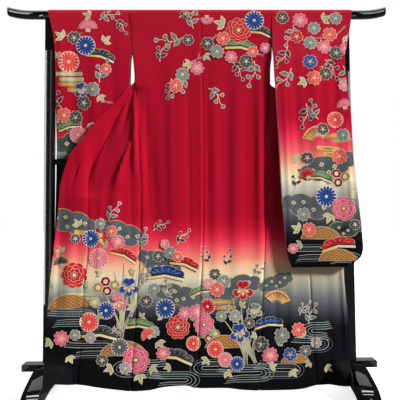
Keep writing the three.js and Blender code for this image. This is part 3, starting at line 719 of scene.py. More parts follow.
@dataclass
class ClothPiece:
    """A piece of the garment, made as a grid of points and given a wall."""

    node: str
    held: str
    flat: tuple[float, float]
    rests_on: tuple[str, ...]
    area: float | None = None

    def rows(self) -> Array:
        """The piece's points, one row after another from the shoulder down."""
        raise NotImplementedError

    def faces(self, shape: tuple[int, int]) -> list[tuple[int, ...]]:
        """Faces between neighbouring rows and columns of a grid."""
        return grid_faces(*shape).tolist()

    def build(self, outer: Material, lining: Material) -> Piece:
        """Args:
            outer: Material of the outer face.
            lining: Material of the inner face.

        Returns:
            The finished piece.
        """
        rows = self.rows() * MM
        faces = self.faces(rows.shape[:2])
        points = rows.reshape(-1, 3)
        mesh = bpy.data.meshes.new(f"{self.node}_cloth")
        mesh.from_pydata(points.tolist(), [], faces)
        self.face_out(mesh)
        self.lay_out(mesh, rows)
        piece = linked(f"{self.node}_cloth", mesh)
        mesh.materials.append(outer)
        mesh.materials.append(lining)
        choose(piece)
        modify(piece, "SOLIDIFY", thickness=CLOTH_WALL * MM, offset=0.0, material_offset=1,
               use_even_offset=False)
        smooth(SMOOTH_CLOTH)
        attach(piece, "root")
        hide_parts(self.node)
        return piece

    @staticmethod
    def face_out(mesh: bpy.types.Mesh) -> None:
        """Turns all faces if the printed side of the near part doesn't face the viewer."""
        mesh.update()
        low = [p for p in mesh.polygons if p.center.y < NEAR_SIDE * MM] or list(mesh.polygons)
        if sum(p.normal.y * p.area for p in low) > 0:
            mesh.flip_normals()

    @staticmethod
    def lay_out(mesh: bpy.types.Mesh, rows: Array) -> None:
        """Gives the mesh a map of the flat cloth, in metres across and down."""
        down, across = rows.shape[:2]
        u = np.zeros((down, across))
        u[:, 1:] = np.cumsum(np.linalg.norm(np.diff(rows, axis=1), axis=2), axis=1)
        v = np.zeros((down, across))
        v[1:] = np.cumsum(np.linalg.norm(np.diff(rows, axis=0), axis=2), axis=0)
        flat = np.stack([u, v], -1).reshape(-1, 2)
        layer = mesh.uv_layers.new(name="flat_cloth")
        index = np.empty(len(mesh.loops), dtype=int)
        mesh.loops.foreach_get("vertex_index", index)
        layer.data.foreach_set("uv", flat[index % len(flat)].ravel())

    def declare_sheet(self, piece: Piece, on_it: list) -> None:
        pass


def body_levels(top: float = BODY_TOP) -> Array:
    """Rows of the body from a level down to the hem, closer near the hem and the armhole."""
    count = int((top - HEM_LEVEL) / BODY_STEP)
    levels = set(np.linspace(top, HEM_LEVEL, count).round(2).tolist())
    levels |= {v for v in (1340.0, 1320.0, 35.0, 30.0, HEM_LEVEL) if v <= top}
    return np.array(sorted(levels, reverse=True))


def over_bar(side: int, start: float, end: float, share: Array, down: Array | None = None) -> Array:
    """Rows over the bar between two places across.

    Args:
        side: -1 for the bar's near side, 1 for its far side and 0 for its ridge.
        start: X of the first column.
        end: X of the last column.
        share: Places of the columns between them.
        down: How far each row lies down the cloth from the shoulder line, by default eight rows.

    Returns:
        The rows' points.
    """
    down = (np.linspace(0, 33, 8) if down is None else down)[:, None]
    x = (start + (end - start) * share)[None, :]
    return np.stack(np.broadcast_arrays(x, side * OVER_BAR.read("out", down), OVER_BAR.read("z", down)), -1)


@dataclass
class BackPanel(ClothPiece):
    """A back body panel between the centre-back seam and a side seam."""

    side: Table = SIDE_LEFT
    hand: int = -1

    def rows(self) -> Array:
        """Points over the bar and down the near side."""
        share = spaced(300, COLUMN_STEP)
        gap = self.hand * SEAM_OVERLAP
        top = over_bar(-1, CENTRE_BACK.read("x", SHOULDER) + gap, self.side.read("x", SHOULDER) - gap, share)
        level = body_levels()[:, None]
        x0, x1 = CENTRE_BACK.read("x", level) + gap, self.side.read("x", level) - gap
        y0, y1 = CENTRE_BACK.read("y", level), self.side.read("y", level)
        x = x0 + (x1 - x0) * share
        y = y0 + (y1 - y0) * share + seam_dip(share, np.abs(x1 - x0))
        return np.concatenate([top, Drape.near(x, y, np.broadcast_to(level, x.shape))])


def seam_dip(share: Array, width: Array, first: bool = True, last: bool = True) -> Array:
    """Small dip of the cloth at its sewn edges, where the seam draws it in.

    Args:
        share: Places across the piece, from 0 to 1.
        width: Widths of its rows.
        first: Whether the edge at 0 is sewn.
        last: Whether the edge at 1 is sewn.

    Returns:
        The dips, away from the viewer.
    """
    edges = ((share * width, first), ((1 - share) * width, last))
    return sum(DIP_DEPTH * np.exp(-((away / DIP_REACH) ** 2)) * sewn for away, sewn in edges)


def line(table: Table, name: str, level: Array) -> Array:
    """Plan positions of a line of an opened front at some levels."""
    return np.stack([table.read(f"{name}_x", level), table.read(f"{name}_y", level)], -1)


def towards(start: Array, end: Array, gap: float) -> Array:
    """Points moved a short way towards others."""
    way = end - start
    return start + way * (gap / np.maximum(np.linalg.norm(way, axis=-1, keepdims=True), 1e-6))


def rows_between(start: Array, end: Array, share: Array, level: Array,
                 sewn: tuple[bool, bool] = (True, True)) -> Array:
    """Rows of cloth between two lines, with folds where the cloth is on the near side."""
    plan = start[:, None] + (end - start)[:, None] * share[None, :, None]
    width = np.linalg.norm(end - start, axis=-1)[:, None]
    near = plan[..., 1].mean(axis=1, keepdims=True) < NEAR_SIDE
    dip = seam_dip(share[None, :], width, *sewn) * np.where(near & (width > 40), 1, 0)
    y = plan[..., 1] + dip
    return Drape.near(plan[..., 0], y, np.broadcast_to(level[:, None], y.shape))


@dataclass
class FrontPanel(ClothPiece):
    """An opened front panel, from the shoulder line behind the bar to the hem."""

    lines: Table = OPENED_LEFT
    back: Table = SIDE_LEFT
    hand: int = -1

    def rows(self) -> Array:
        """Points over the bar, down behind it, through the gap under the arm and down in front."""
        share = spaced(240, COLUMN_STEP)
        top = over_bar(1, self.lines.read("side_x", SHOULDER), self.lines.read("seam_x", SHOULDER), share)
        level = body_levels()
        side, seam = line(self.lines, "side", level), line(self.lines, "seam", level)
        tucked = np.stack(
            [self.back.read("x", level) - self.hand * TUCK, self.back.read("y", level) + TUCK], -1)
        share_tucked = 1 - smoothstep(level, *TUCK_LEVELS)[:, None]
        side = side + (tucked - side) * share_tucked
        return np.concatenate([top, rows_between(side, towards(seam, side, SEAM_OVERLAP), share, level)])


@dataclass
class OkumiPanel(ClothPiece):
    """An overlap panel between a front panel and the collar, and free below the collar's end."""

    lines: Table = OPENED_LEFT

    def rows(self) -> Array:
        """Points from the panel's upper tip to the hem."""
        levels = [v for v in body_levels(KENSAKI) if abs(v - COLLAR_END) > 6]
        level = np.array(sorted([*levels, COLLAR_END - 2, COLLAR_END - 2.6], reverse=True))
        seam, sewn, free = (line(self.lines, name, level) for name in ("seam", "sewn", "free"))
        above = (level >= COLLAR_END - 2)[:, None]
        outer = np.where(above, towards(sewn, seam, SEAM_OVERLAP), free)
        inner = towards(seam, free, SEAM_OVERLAP)
        return rows_between(inner, outer, spaced(150, COLUMN_STEP), level, (True, False))


@dataclass
class Collar(ClothPiece):
    """The collar band: up the left front, round the neck and down the right front."""

    def rows(self) -> Array:
        """Points along the band from its left end to its right end."""
        level = np.array([*(v for v in body_levels() if v > COLLAR_END + 4), COLLAR_END - 1.4])
        share = np.linspace(0, 1, COLLAR_COLUMNS)
        strips = []
        for table in (OPENED_LEFT, OPENED_RIGHT):
            sewn, free = line(table, "sewn", level), line(table, "free", level)
            edge = towards(sewn, free, SEAM_OVERLAP)
            strips.append(rows_between(edge, free, share, level, (True, False)))
        return np.concatenate([strips[0][::-1], self.neck(share), strips[1]])

    @staticmethod
    def neck(share: Array) -> Array:
        """Rows behind the neck, from the shoulder line over the bar and down."""
        corner = np.array([31.0, 26, 20, 15, 10, 5, 0])
        across = np.linspace(-1, 1, 15)[1:-1]
        starts = np.concatenate([
            np.stack([-np.ones(7), corner], -1), np.stack([across, 0 * across], -1),
            np.stack([np.ones(7), corner[::-1]], -1)])
        sewn_x = CENTRE_X + starts[:, 0] * NECK_HALF_WIDTH
        free_x = CENTRE_X + starts[:, 0] * (40 + starts[:, 1] / 4)
        free_down = COLLAR_WIDTH - starts[:, 1] / 10
        x = sewn_x[:, None] + (free_x - sewn_x)[:, None] * share
        down = starts[:, 1:2] + (free_down - starts[:, 1])[:, None] * share
        return np.stack([x, BEHIND_NECK.read("out", down), BEHIND_NECK.read("z", down)], -1)


@dataclass
class Sleeve(ClothPiece):
    """A sleeve: a bag of two layers over the bar, open at its inner edge and at the cuff."""

    lines: Table = SLEEVE_LEFT

    def levels(self) -> Array:
        """Rows of a layer from the bar down to the bottom edge."""
        levels = set(np.linspace(BODY_TOP, SLEEVE_BOTTOM, SLEEVE_ROWS).round(2).tolist())
        levels |= {CUFF, 640.0, 600.0, 575.0, 560.0}
        return np.array(sorted(levels, reverse=True))

    def layer(self, name: str, level: Array, share: Array) -> Array:
        """Rows of the near or the far layer."""
        inner = self.lines.read("inner", level)[:, None]
        outer = self.lines.read(f"{name}_outer", level)[:, None]
        x = inner + (outer - inner) * share
        y = self.lines.read(f"{name}_y", level)[:, None] + 0 * share
        z = np.broadcast_to(level[:, None], x.shape)
        settle = smoothstep(SETTLE_FROM - z, 0, SETTLE_RUN)
        relief = Drape.relief(x, z, SLEEVE_FOLDS) * settle * (1.0 if name == "near" else 0.5)
        return np.stack([x, y - relief * smoothstep(z, SLEEVE_BOTTOM, SLEEVE_CALM), z], -1)

    def rows(self) -> Array:
        """The bag as one loop of rows: down the near layer and up the far one."""
        share = spaced(340, COLUMN_STEP)
        level = self.levels()
        last = level[-1:]
        down = np.array([5.0, 10, 15, 21, 27, 33])
        bottom = self.layer("near", last, share)
        bottom[..., 1] = (self.lines.read("near_y", last) + self.lines.read("far_y", last)) / 2
        bottom[..., 2] -= SLEEVE_BOTTOM_DROP
        inner, near, far = (self.lines.read(name, SHOULDER) for name in ("inner", "near_outer", "far_outer"))
        return np.concatenate([
            self.layer("near", level, share), bottom, self.layer("far", level[::-1], share),
            over_bar(1, inner, far, share, down[::-1]), over_bar(0, inner, near, share, np.zeros(1)),
            over_bar(-1, inner, near, share, down)])

    def faces(self, shape: tuple[int, int]) -> list[tuple[int, ...]]:
        """Faces of the loop, and of the strip that closes the outer edge below the cuff."""
        down, across = shape
        count = down * across
        grid = np.arange(count).reshape(down, across)
        after = np.roll(grid, -1, axis=0)
        quads = np.stack([grid[:, :-1], after[:, :-1], after[:, 1:], grid[:, 1:]], -1).reshape(-1, 4).tolist()
        level = self.levels()
        total, first = len(level), int(np.argmin(np.abs(level - CUFF)))
        edge = across - 1
        near = [k * across + edge for k in range(first, total)]
        far = [(2 * total - k) * across + edge for k in range(first, total)]
        for k in range(len(near) - 1):
            quads.append((near[k], near[k + 1], far[k + 1], far[k]))
        quads.append((near[-1], total * across + edge, far[-1]))
        return quads


GARMENT: list[ClothPiece] = [
    BackPanel("back_left", "hung", (0.30, 1.69), ("top_bar",), side=SIDE_LEFT, hand=-1),
    BackPanel("back_right", "hung", (0.30, 1.69), ("top_bar",), side=SIDE_RIGHT, hand=1),
    FrontPanel("front_left", "gathered", (0.24, 1.69), ("top_bar",), area=0.36),
    FrontPanel("front_right", "gathered", (0.24, 1.69), ("top_bar",), area=0.36, lines=OPENED_RIGHT,
               back=SIDE_RIGHT, hand=1),
    OkumiPanel("okumi_left", "hung", (0.15, 1.17), ("front_left",), area=0.15, lines=OPENED_LEFT),
    OkumiPanel("okumi_right", "hung", (0.15, 1.17), ("front_right",), area=0.15, lines=OPENED_RIGHT),
    Collar("collar", "hung", (0.055, 2.10), ("front_left", "front_right")),
    Sleeve("sleeve_left", "hung", (0.33, 2.32), ("top_bar",), lines=SLEEVE_LEFT),
    Sleeve("sleeve_right", "hung", (0.33, 2.32), ("top_bar",), lines=SLEEVE_RIGHT),
]


# ---- print

FACE = 7.0  # longest edge of the print's faces, in mm
CELL = 9.0  # size of the cells in which the print's layers are counted, in mm
CLEAR = 0.4  # from the silk to the lowest layer, in mm
LAYER = 0.2  # from one layer to the next, in mm
MARGIN = 2.5  # between the print and the cloth's edges, in mm
HEM_MARGIN = 4.0  # between the print and the hem, in mm
RAY_FROM = 0.5  # the print is laid on from this far off, in m
SMALLEST_FACE = 2e-8  # in m2
RING_INSIDE = 0.8  # how far a motif's rim reaches inside its outline, in mm


def turned(points: Array, degrees: float,
           start: Array | tuple[float, float] = (0, 0)) -> Array:
    """Points turned round their origin and moved to a start."""
    c, s = math.cos(math.radians(degrees)), math.sin(math.radians(degrees))
    return points @ np.array([[c, s], [-s, c]]) + np.array(start)


def polar(radius: float, degrees: float) -> Array:
    """Point at a distance from the origin in some direction."""
    return turned(np.array([radius, 0.0]), degrees)


def lobed(radius: float, lobes: int = 0, depth: float = 0.0, power: float = 0.6,
          notch: float = 0.0) -> Array:
    """Outline of a round shape with lobes.

    Args:
        radius: Its largest radius.
        lobes: Number of lobes.
        depth: How deep the valleys between the lobes are, as a share of the radius.
        power: Below 1 for full lobes with sharp valleys.
        notch: Depth of a nick in the tip of each lobe.

    Returns:
        The outline's points.
    """
    count = int(max(12, 2 * math.pi * radius / FACE, 9 * lobes))
    a = np.linspace(0, 2 * math.pi, count, endpoint=False)
    r = np.full(count, float(radius))
    if lobes:
        wave = np.abs(np.sin(lobes * a / 2))
        r *= 1 - depth + depth * wave**power - notch * np.exp(-(((1 - wave) / 0.06) ** 2))
    return np.stack([r * np.cos(a), r * np.sin(a)], -1)


WEDGE = ((0, 0.22), (0.4, 0.62), (0.8, 1), (0.94, 0.8), (1, 0.3))
LEAF = ((0, 0.03), (0.2, 0.7), (0.45, 1), (0.75, 0.6), (1, 0.02))
DROP = ((0, 0.05), (0.3, 0.4), (0.65, 1), (0.88, 0.75), (1, 0.15))


def petal(length: float, width: float, profile: tuple, turn: float = 0.0,
          start: Array | tuple[float, float] = (0, 0)) -> Array:
    """Outline of a petal or leaf, from its foot outwards."""
    side = np.array([(s * length, w * width / 2) for s, w in profile])
    return turned(np.concatenate([side, side[::-1] * (1, -1)]), turn, start)


class Sketch:
    """Flat dyed shapes in the plane of X and Z, in millimetres, each on a layer of its own."""

    def __init__(self) -> None:
        """Starts empty."""
        self.points: list[Array] = []
        self.layers: list[Array] = []
        self.dyes: list[Array] = []
        self.faces: list[tuple[int, ...]] = []
        self.count = 0
        self.top: dict[tuple[int, int], int] = {}

    def add(self, points: Array, faces: Array, layer: int, dyes: Array) -> None:
        """Adds one shape's points, faces, layer and dyes."""
        self.points.append(points)
        self.layers.append(np.full(len(points), layer))
        self.dyes.append(dyes)
        self.faces += [tuple(f) for f in (faces + self.count).tolist()]
        self.count += len(points)

    def settle(self, first: int) -> None:
        """Lifts the shapes added since the first over what they cross."""
        points = np.concatenate(self.points[first:])
        cells = {tuple(c) for c in np.floor(points / CELL).astype(int).tolist()}
        base = max((self.top.get(c, 0) for c in cells), default=0)
        height = 1 + max(int(layer.max()) for layer in self.layers[first:])
        for k in range(first, len(self.layers)):
            self.layers[k] = self.layers[k] + base
        for c in cells:
            self.top[c] = base + height


@dataclass
class Pen:
    """Draws the shapes of one motif at its place, turn and size."""

    sketch: Sketch
    x: float
    z: float
    turn: float = 0.0
    flip: float = 1.0

    def world(self, points: Array) -> Array:
        """Places on the cloth of points of the motif."""
        return turned(np.asarray(points, dtype=float) * (self.flip, 1), self.turn, (self.x, self.z))

    @staticmethod
    def spokes(outline: Array, centre: tuple[float, float] | None) -> tuple[Array, ...]:
        """An outline's centre, which is its mean if none is given, its spokes and their lengths."""
        middle = np.mean(outline, axis=0) if centre is None else np.array(centre, dtype=float)
        spokes = outline - middle
        return middle, spokes, np.maximum(np.linalg.norm(spokes, axis=1, keepdims=True), 1e-6)

    def fill(self, outline: Array, layer: int, dye: Dye, heart: Dye | None = None,
             centre: tuple[float, float] | None = None) -> None:
        """Fills an area that its centre overlooks, shaded from the centre to the edge.

        Args:
            outline: The area's outline.
            layer: Its layer in the motif.
            dye: Dye at the edge.
            heart: Dye at the centre, where it differs.
            centre: Point that overlooks the area.
        """
        middle, spokes, length = self.spokes(outline, centre)
        rings = max(1, math.ceil(length.max() / FACE))
        shares = np.arange(1, rings + 1) / rings
        points = [middle[None]] + [middle + spokes * share for share in shares]
        count = len(outline)
        after = np.roll(np.arange(count), -1)
        inner = np.stack([0 * after, 1 + np.arange(count), 1 + after], -1)
        first, last = np.array((heart or dye).value), np.array(dye.value)
        blend = np.concatenate([[0], np.repeat(shares, count)])[:, None]
        self.sketch.add(self.world(np.concatenate(points)), inner, layer, first + (last - first) * blend)
        base = self.sketch.count - 1 - rings * count
        for k in range(rings - 1):
            a = base + 1 + k * count + np.arange(count)
            b = base + 1 + k * count + after
            self.sketch.faces += [tuple(f) for f in np.stack([a, a + count, b + count, b], -1).tolist()]

    def edged(self, outline: Array, layer: int, dye: Dye, heart: Dye | None = None,
              line: Dye = Dye.LINE, rim: float = 1.5, centre: tuple[float, float] | None = None) -> None:
        """Fills an area and draws its outline round it."""
        self.ring(outline, layer, line, rim, centre)
        self.fill(outline, layer + 1, dye, heart, centre)

    def ring(self, outline: Array, layer: int, dye: Dye, rim: float,
             centre: tuple[float, float] | None = None) -> None:
        """Draws a narrow ring round an area, from just inside its outline to the rim's width outside it."""
        _, spokes, length = self.spokes(outline, centre)
        way = spokes / length
        inner = np.arange(len(outline))
        after = np.roll(inner, -1)
        faces = np.stack([inner, inner + len(outline), after + len(outline), after], -1)
        points = self.world(np.concatenate([outline - RING_INSIDE * way, outline + rim * way]))
        self.sketch.add(points, faces, layer, np.repeat(np.array([dye.value]), len(points), axis=0))

    def ray(self, reach: Array, start: float, end: float, layer: int, dye: Dye, width: float,
            last: float | None = None) -> None:
        """Draws a straight stroke between two shares of the way from the middle to a point."""
        self.stroke([reach * start, reach * end], layer, dye, width, last)

    def stroke(self, path: Array, layer: int, dye: Dye, width: float, end: float | None = None,
               last: Dye | None = None) -> None:
        """Draws a band along a path.

        Args:
            path: Points of the path.
            layer: The band's layer in the motif.
            dye: Its dye.
            width: Its width at the start.
            end: Its width at the end, where it differs.
            last: Dye at the end, where it differs.
        """
        path = np.asarray(path, dtype=float)
        run = np.concatenate([[0], np.cumsum(np.linalg.norm(np.diff(path, axis=0), axis=1))])
        count = max(2, math.ceil(run[-1] / FACE) + 1)
        s = np.linspace(0, run[-1], count)
        line = np.stack([np.interp(s, run, path[:, k]) for k in (0, 1)], -1)
        way = np.gradient(line, axis=0)
        way /= np.maximum(np.linalg.norm(way, axis=1, keepdims=True), 1e-6)
        side = np.stack([-way[:, 1], way[:, 0]], -1)
        half = np.linspace(width, width if end is None else end, count)[:, None] / 2
        columns = max(2, math.ceil(width / FACE) + 1)
        grid = np.stack([line + side * half * t for t in np.linspace(-1, 1, columns)], 1)
        first, final = np.array(dye.value), np.array((last or dye).value)
        dyes = first + (final - first) * np.repeat(np.linspace(0, 1, count), columns)[:, None]
        self.sketch.add(self.world(grid.reshape(-1, 2)), grid_faces(count, columns), layer, dyes)


DARKER = {  # each dye's second tone
    Dye.CORAL: Dye.VERMILION, Dye.ROSE: Dye.BLUSH, Dye.VERMILION: Dye.WINE, Dye.ROYAL: Dye.NAVY,
    Dye.TEAL: Dye.CHARCOAL, Dye.CHARCOAL: Dye.INK, Dye.NAVY: Dye.ROYAL, Dye.GOLD: Dye.BRONZE,
    Dye.LEAF: Dye.SAGE, Dye.SAGE: Dye.LEAF, Dye.SLATE: Dye.CHARCOAL, Dye.BRONZE: Dye.GOLD,
    Dye.BLUSH: Dye.ROSE, Dye.PINE: Dye.SAGE, Dye.CREAM: Dye.GOLD,
    Dye.PLUM: Dye.SLATE, Dye.WINE: Dye.INK, Dye.INK: Dye.CHARCOAL, Dye.SILVER: Dye.SLATE,
}


class Motifs:
    """How each motif of the charts is drawn, from a pen at its place, its size and its main dye.

    The size is the motif's radius or half its width, in millimetres.
    """

    @staticmethod
    def chrysanthemum(pen: Pen, size: float, dye: Dye) -> None:
        """A round chrysanthemum with narrow petals in two rings."""
        count = 16
        pen.fill(lobed(size, count, 0.05), 0, Dye.LINE)
        width = 2 * math.pi * size / count * 0.68
        for k in range(count):
            turn = 360 * (k + 0.5) / count
            pen.fill(petal(size * 0.86, width, WEDGE, turn, polar(size * 0.1, turn)), 1, dye, DARKER[dye])
        for k in range(count):
            pen.ray(polar(size, 360 * k / count), 0.2, 0.62, 2, DARKER[dye], 1.6, 0.6)
        pen.edged(lobed(size * 0.12), 3, Dye.GOLD, Dye.CREAM, Dye.CREAM)

    @staticmethod
    def half(pen: Pen, size: float, dye: Dye) -> None:
        """A chrysanthemum seen from its side."""
        for turn in np.linspace(8, 172, 11):
            pen.edged(petal(size, size * 0.19, WEDGE, turn), 0, dye, DARKER[dye], rim=1.3)
        for turn in (-60, -120):
            pen.edged(petal(size * 0.4, size * 0.3, LEAF, turn), 2, Dye.LEAF, Dye.SAGE)

    @staticmethod
    def blossom(pen: Pen, size: float, dye: Dye) -> None:
        """A cherry blossom with five notched petals and its stamens."""
        outline = turned(lobed(size, 5, 0.34, 0.5, 0.16), 18)
        pen.edged(outline, 0, dye, DARKER[dye], rim=1.7)
        for k in range(5):
            for spread, reach in ((-14, 0.5), (0, 0.62), (14, 0.5)):
                pen.ray(polar(size, 72 * k + 54 + spread), 0, reach, 2, Dye.LINE, 0.9)
        pen.edged(lobed(size * 0.13), 3, Dye.GOLD, Dye.CREAM)

    @staticmethod
    def peony(pen: Pen, size: float, dye: Dye) -> None:
        """A full peony: rings of ruffled petals round a golden heart."""
        rings = ((1.0, 9, 0.16, 0), (0.76, 8, 0.2, 13), (0.52, 7, 0.22, 30))
        for k, (share, lobes, depth, turn) in enumerate(rings):
            heart = DARKER[dye] if k != 1 else None
            pen.edged(turned(lobed(size * share, lobes, depth), turn), 2 * k, dye, heart, rim=1.6)
        for k in range(9):
            pen.ray(polar(size, 40 * k), 0.56, 0.8, 5, DARKER[dye], 1.4, 0.5)
        pen.edged(lobed(size * 0.27, 6, 0.24), 6, Dye.WINE, Dye.PLUM)
        pen.fill(lobed(size * 0.17, 5, 0.3), 8, Dye.GOLD, Dye.CREAM)

    @staticmethod
    def pine(pen: Pen, size: float, dye: Dye) -> None:
        """A pine clump: scalloped needles over a golden bough."""
        height = size * 0.52
        a = np.linspace(0, math.pi, 43)
        scallop = 1 - 0.13 * (1 - np.abs(np.sin(3.5 * a)) ** 0.6)
        top = np.stack([size * np.cos(a) * scallop, height * (0.15 + np.sin(a)) * scallop], -1)
        low = np.array([(-0.7, 0.12), (-0.35, 0.26), (0, 0.38), (0.35, 0.26), (0.7, 0.12)]) * (size, height)
        pen.edged(np.concatenate([top, low]), 0, dye, DARKER[dye], centre=(0, height * 0.62))
        for k in range(1, 7):
            b = math.pi * k / 7
            foot = np.array([size * 0.55 * math.cos(b), height * (0.35 + 0.25 * math.sin(b))])
            tip = np.array([size * 0.86 * math.cos(b), height * (0.12 + 0.86 * math.sin(b))])
            pen.stroke([foot, tip], 2, Dye.LINE, 1.2, 0.6)
        half = [(-0.96, -0.02), (-0.45, 0.14), (0, 0.3)]
        chevron = np.array([*half, *((-x, z) for x, z in half[1::-1])]) * (size, height)
        pen.stroke(chevron - (0, 1.5), 2, Dye.INK, height * 0.3)
        pen.stroke(chevron - (0, height * 0.14), 3, Dye.GOLD, height * 0.26, last=Dye.CREAM)
        for k in range(9):
            x = size * (-0.8 + 0.2 * k)
            z = height * (-0.2 + 0.3 * (1 - abs(x) / size))
            pen.stroke([(x, z), (x + 5, z - 3)], 4, Dye.LINE, 1.6)

    @staticmethod
    def leaves(pen: Pen, size: float, dye: Dye) -> None:
        """A spray of three cut leaves."""
        for turn, share in ((58, 0.8), (-52, 0.82), (4, 1.0)):
            pen.edged(petal(size * share, size * 0.42, LEAF, turn), 0, dye, DARKER[dye])
            for bend in (-24, 24):
                start = polar(size * share * 0.3, turn)
                pen.edged(petal(size * share * 0.42, size * 0.2, LEAF, turn + bend, start), 0, dye)
            pen.ray(polar(size * share * 0.9, turn), 0.1, 1, 2, DARKER[dye], 1.3, 0.5)

    @staticmethod
    def sprig(pen: Pen, size: float, dye: Dye) -> None:
        """A curved twig with leaves and buds."""
        t = np.linspace(0, 1, 14)
        stem = np.stack([size * 2 * t, size * 0.5 * np.sin(t * 2.4)], -1)
        pen.stroke(stem, 0, Dye.LINE, 3.4, 2.2)
        for k, (share, turn) in enumerate(((0.16, 55), (0.36, -50), (0.58, 56), (0.72, -52), (1, 10))):
            foot = stem[int(share * 13)]
            outline = petal(size * 0.96, size * 0.46, LEAF, turn, foot)
            if k > 1:
                out = polar(size * 0.3, turn) + foot
                pen.stroke([foot, out], 0, Dye.LINE, 2.2)
                outline = petal(size * 0.5, size * 0.44, DROP, turn, out)
            pen.edged(outline, 1, dye, DARKER[dye], rim=1.8)

    @staticmethod
    def branch(pen: Pen, size: float, dye: Dye) -> None:
        """A long bent branch with short twigs."""
        t = np.linspace(0, 1, 25)
        stem = np.stack([size * 2 * t, size * 0.16 * np.sin(t * 5.2) + size * 0.1 * t], -1)
        pen.stroke(stem, 0, Dye.LINE, 5.4, 3.2)
        pen.stroke(stem, 1, dye, 3.0, 1.4)
        for share, turn in ((0.3, 50), (0.48, -48), (0.68, 44), (0.84, -40)):
            foot = stem[int(share * 24)]
            pen.stroke([foot, foot + polar(size * 0.26, turn)], 0, Dye.LINE, 2.6, 1.4)

    @staticmethod
    def mist(pen: Pen, size: float, dye: Dye) -> None:
        """Two bands of mist with round ends."""
        for z, shift, reach in ((0, 0.0, 1.0), (-24, 0.35, 0.72)):
            a = np.linspace(-math.pi / 2, math.pi / 2, 9)
            half = 9.0
            right = np.stack([size * reach - half + half * np.cos(a), half * np.sin(a)], -1)
            steps = np.linspace(0.9, -0.9, max(3, int(2 * size * reach / FACE)))[:, None]
            top = np.concatenate([steps * (size * reach), np.full_like(steps, half)], 1)
            outline = np.concatenate([right, top[2:-2], -right, -top[2:-2]])
            pen.edged(outline + (shift * size, z), 0, dye, DARKER[dye], line=Dye.CREAM, rim=1.2,
                      centre=(shift * size, z))

    @staticmethod
    def cloud(pen: Pen, size: float, dye: Dye) -> None:
        """A broad cloud with a golden rim, strewn with small lozenges."""
        t = np.linspace(0, 2 * math.pi, 96, endpoint=False)
        out = np.stack([0.4 * np.cos(t), np.sin(t)], -1)
        out /= np.linalg.norm(out, axis=1, keepdims=True)
        puffs = 0.1 * np.abs(np.sin(4 * t)) ** 0.6
        outline = size * (np.stack([0.9 * np.cos(t), 0.32 * np.sin(t)], -1) + out * puffs[:, None])
        pen.edged(outline, 0, dye, DARKER[dye], line=Dye.GOLD, rim=2.2)
        for x, z in ((-0.55, 0.02), (-0.2, 0.12), (0.2, -0.08), (0.55, 0.06), (-0.05, -0.2)):
            for share, layer, tone in ((0.09, 2, Dye.CREAM), (0.055, 3, Dye.BRONZE)):
                lozenge = np.array([(1, 0), (0, 0.9), (-1, 0), (0, -0.9)]) * size * share
                pen.fill(lozenge + (x * size, z * size), layer, tone)

    @staticmethod
    def water(pen: Pen, size: float, dye: Dye) -> None:
        """An eddy of running water in fine parallel lines."""
        a = np.linspace(math.pi / 2, -math.pi / 2, 13)
        for k in range(4):
            r = 7 + 9.5 * k
            turn = np.stack([size * 0.5 + 1.7 * r * np.cos(a), r * np.sin(a)], -1)
            tail = np.array([(-size * (0.95 - 0.09 * k), r + 4), (-size * 0.4, r)])
            back = np.array([(-size * (0.1 + 0.1 * k), -r), (-size * (0.5 + 0.06 * k), -r - 5)])
            pen.stroke(np.concatenate([tail, turn, back]), 0, dye if k % 2 else Dye.SILVER, 3.0, 2.2)

    @staticmethod
    def blades(pen: Pen, size: float, dye: Dye) -> None:
        """Long blades that rise and lean outwards."""
        for lean, share, tone in ((-0.55, 0.72, Dye.SAGE), (-0.2, 1.0, dye), (0.08, 1.12, Dye.LEAF),
                                  (0.34, 0.95, dye), (0.7, 0.7, Dye.TEAL)):
            t = np.linspace(0, 1, 16)
            path = np.stack([size * lean * t**1.8, 2 * size * share * t], -1)
            pen.stroke(path, 0, Dye.LINE, 13, 1.6)
            pen.stroke(path, 1, tone, 10, 0.8, DARKER[tone])

    @staticmethod
    def iris(pen: Pen, size: float, dye: Dye) -> None:
        """An iris with three falling and two rising petals."""
        for turn, share in ((62, 0.8), (118, 0.8), (-28, 1), (208, 1), (270, 0.95)):
            pen.edged(petal(size * share, size * 0.66, DROP, turn), 0, dye, DARKER[dye], rim=1.7)
        for turn in (-28, 208, 270):
            pen.fill(petal(size * 0.6, size * 0.24, DROP, turn), 2, Dye.GOLD, Dye.CREAM)

    @staticmethod
    def mound(pen: Pen, size: float, dye: Dye) -> None:
        """A low mound with a lattice over it."""
        height = size * 0.62
        a = np.linspace(0, math.pi, 31)
        arch = np.stack([size * np.cos(a), height * np.sin(a)], -1)
        floor = np.linspace(-0.86, 0.86, 13)[:, None] * (size, 0)
        pen.edged(np.concatenate([arch, floor]), 0, dye, line=Dye.LINE, rim=1.8, centre=(0, height * 0.45))
        for slope in (-1, 1):
            for k in range(-4, 5):
                path = []
                for t in np.linspace(-1.2, 1.2, 25):
                    x, z = size * (t + 0.25 * k), height * (0.5 + slope * t)
                    if z > 2 and (x / size) ** 2 + (z / height) ** 2 < 0.95:
                        path.append((x, z))
                if len(path) > 2:
                    pen.stroke(path, 2 if slope > 0 else 3, Dye.WINE if slope > 0 else Dye.GOLD, 1.8)

    @staticmethod
    def fan(pen: Pen, size: float, dye: Dye) -> None:
        """An open folding fan with ribs and a banded leaf."""
        a = np.radians(np.linspace(30, 150, 17))
        arc = np.stack([np.cos(a), np.sin(a)], -1)
        pen.edged(np.concatenate([arc * size, arc[::-1] * size * 0.42]), 0, dye, DARKER[dye],
                  rim=1.6, centre=(0, size * 0.72))
        pen.stroke(arc * size * 0.86, 2, Dye.VERMILION, size * 0.09)
        for ray in arc[::2]:
            pen.stroke([ray * size * 0.3, ray * size * 0.97], 3, Dye.LINE, 1.4)

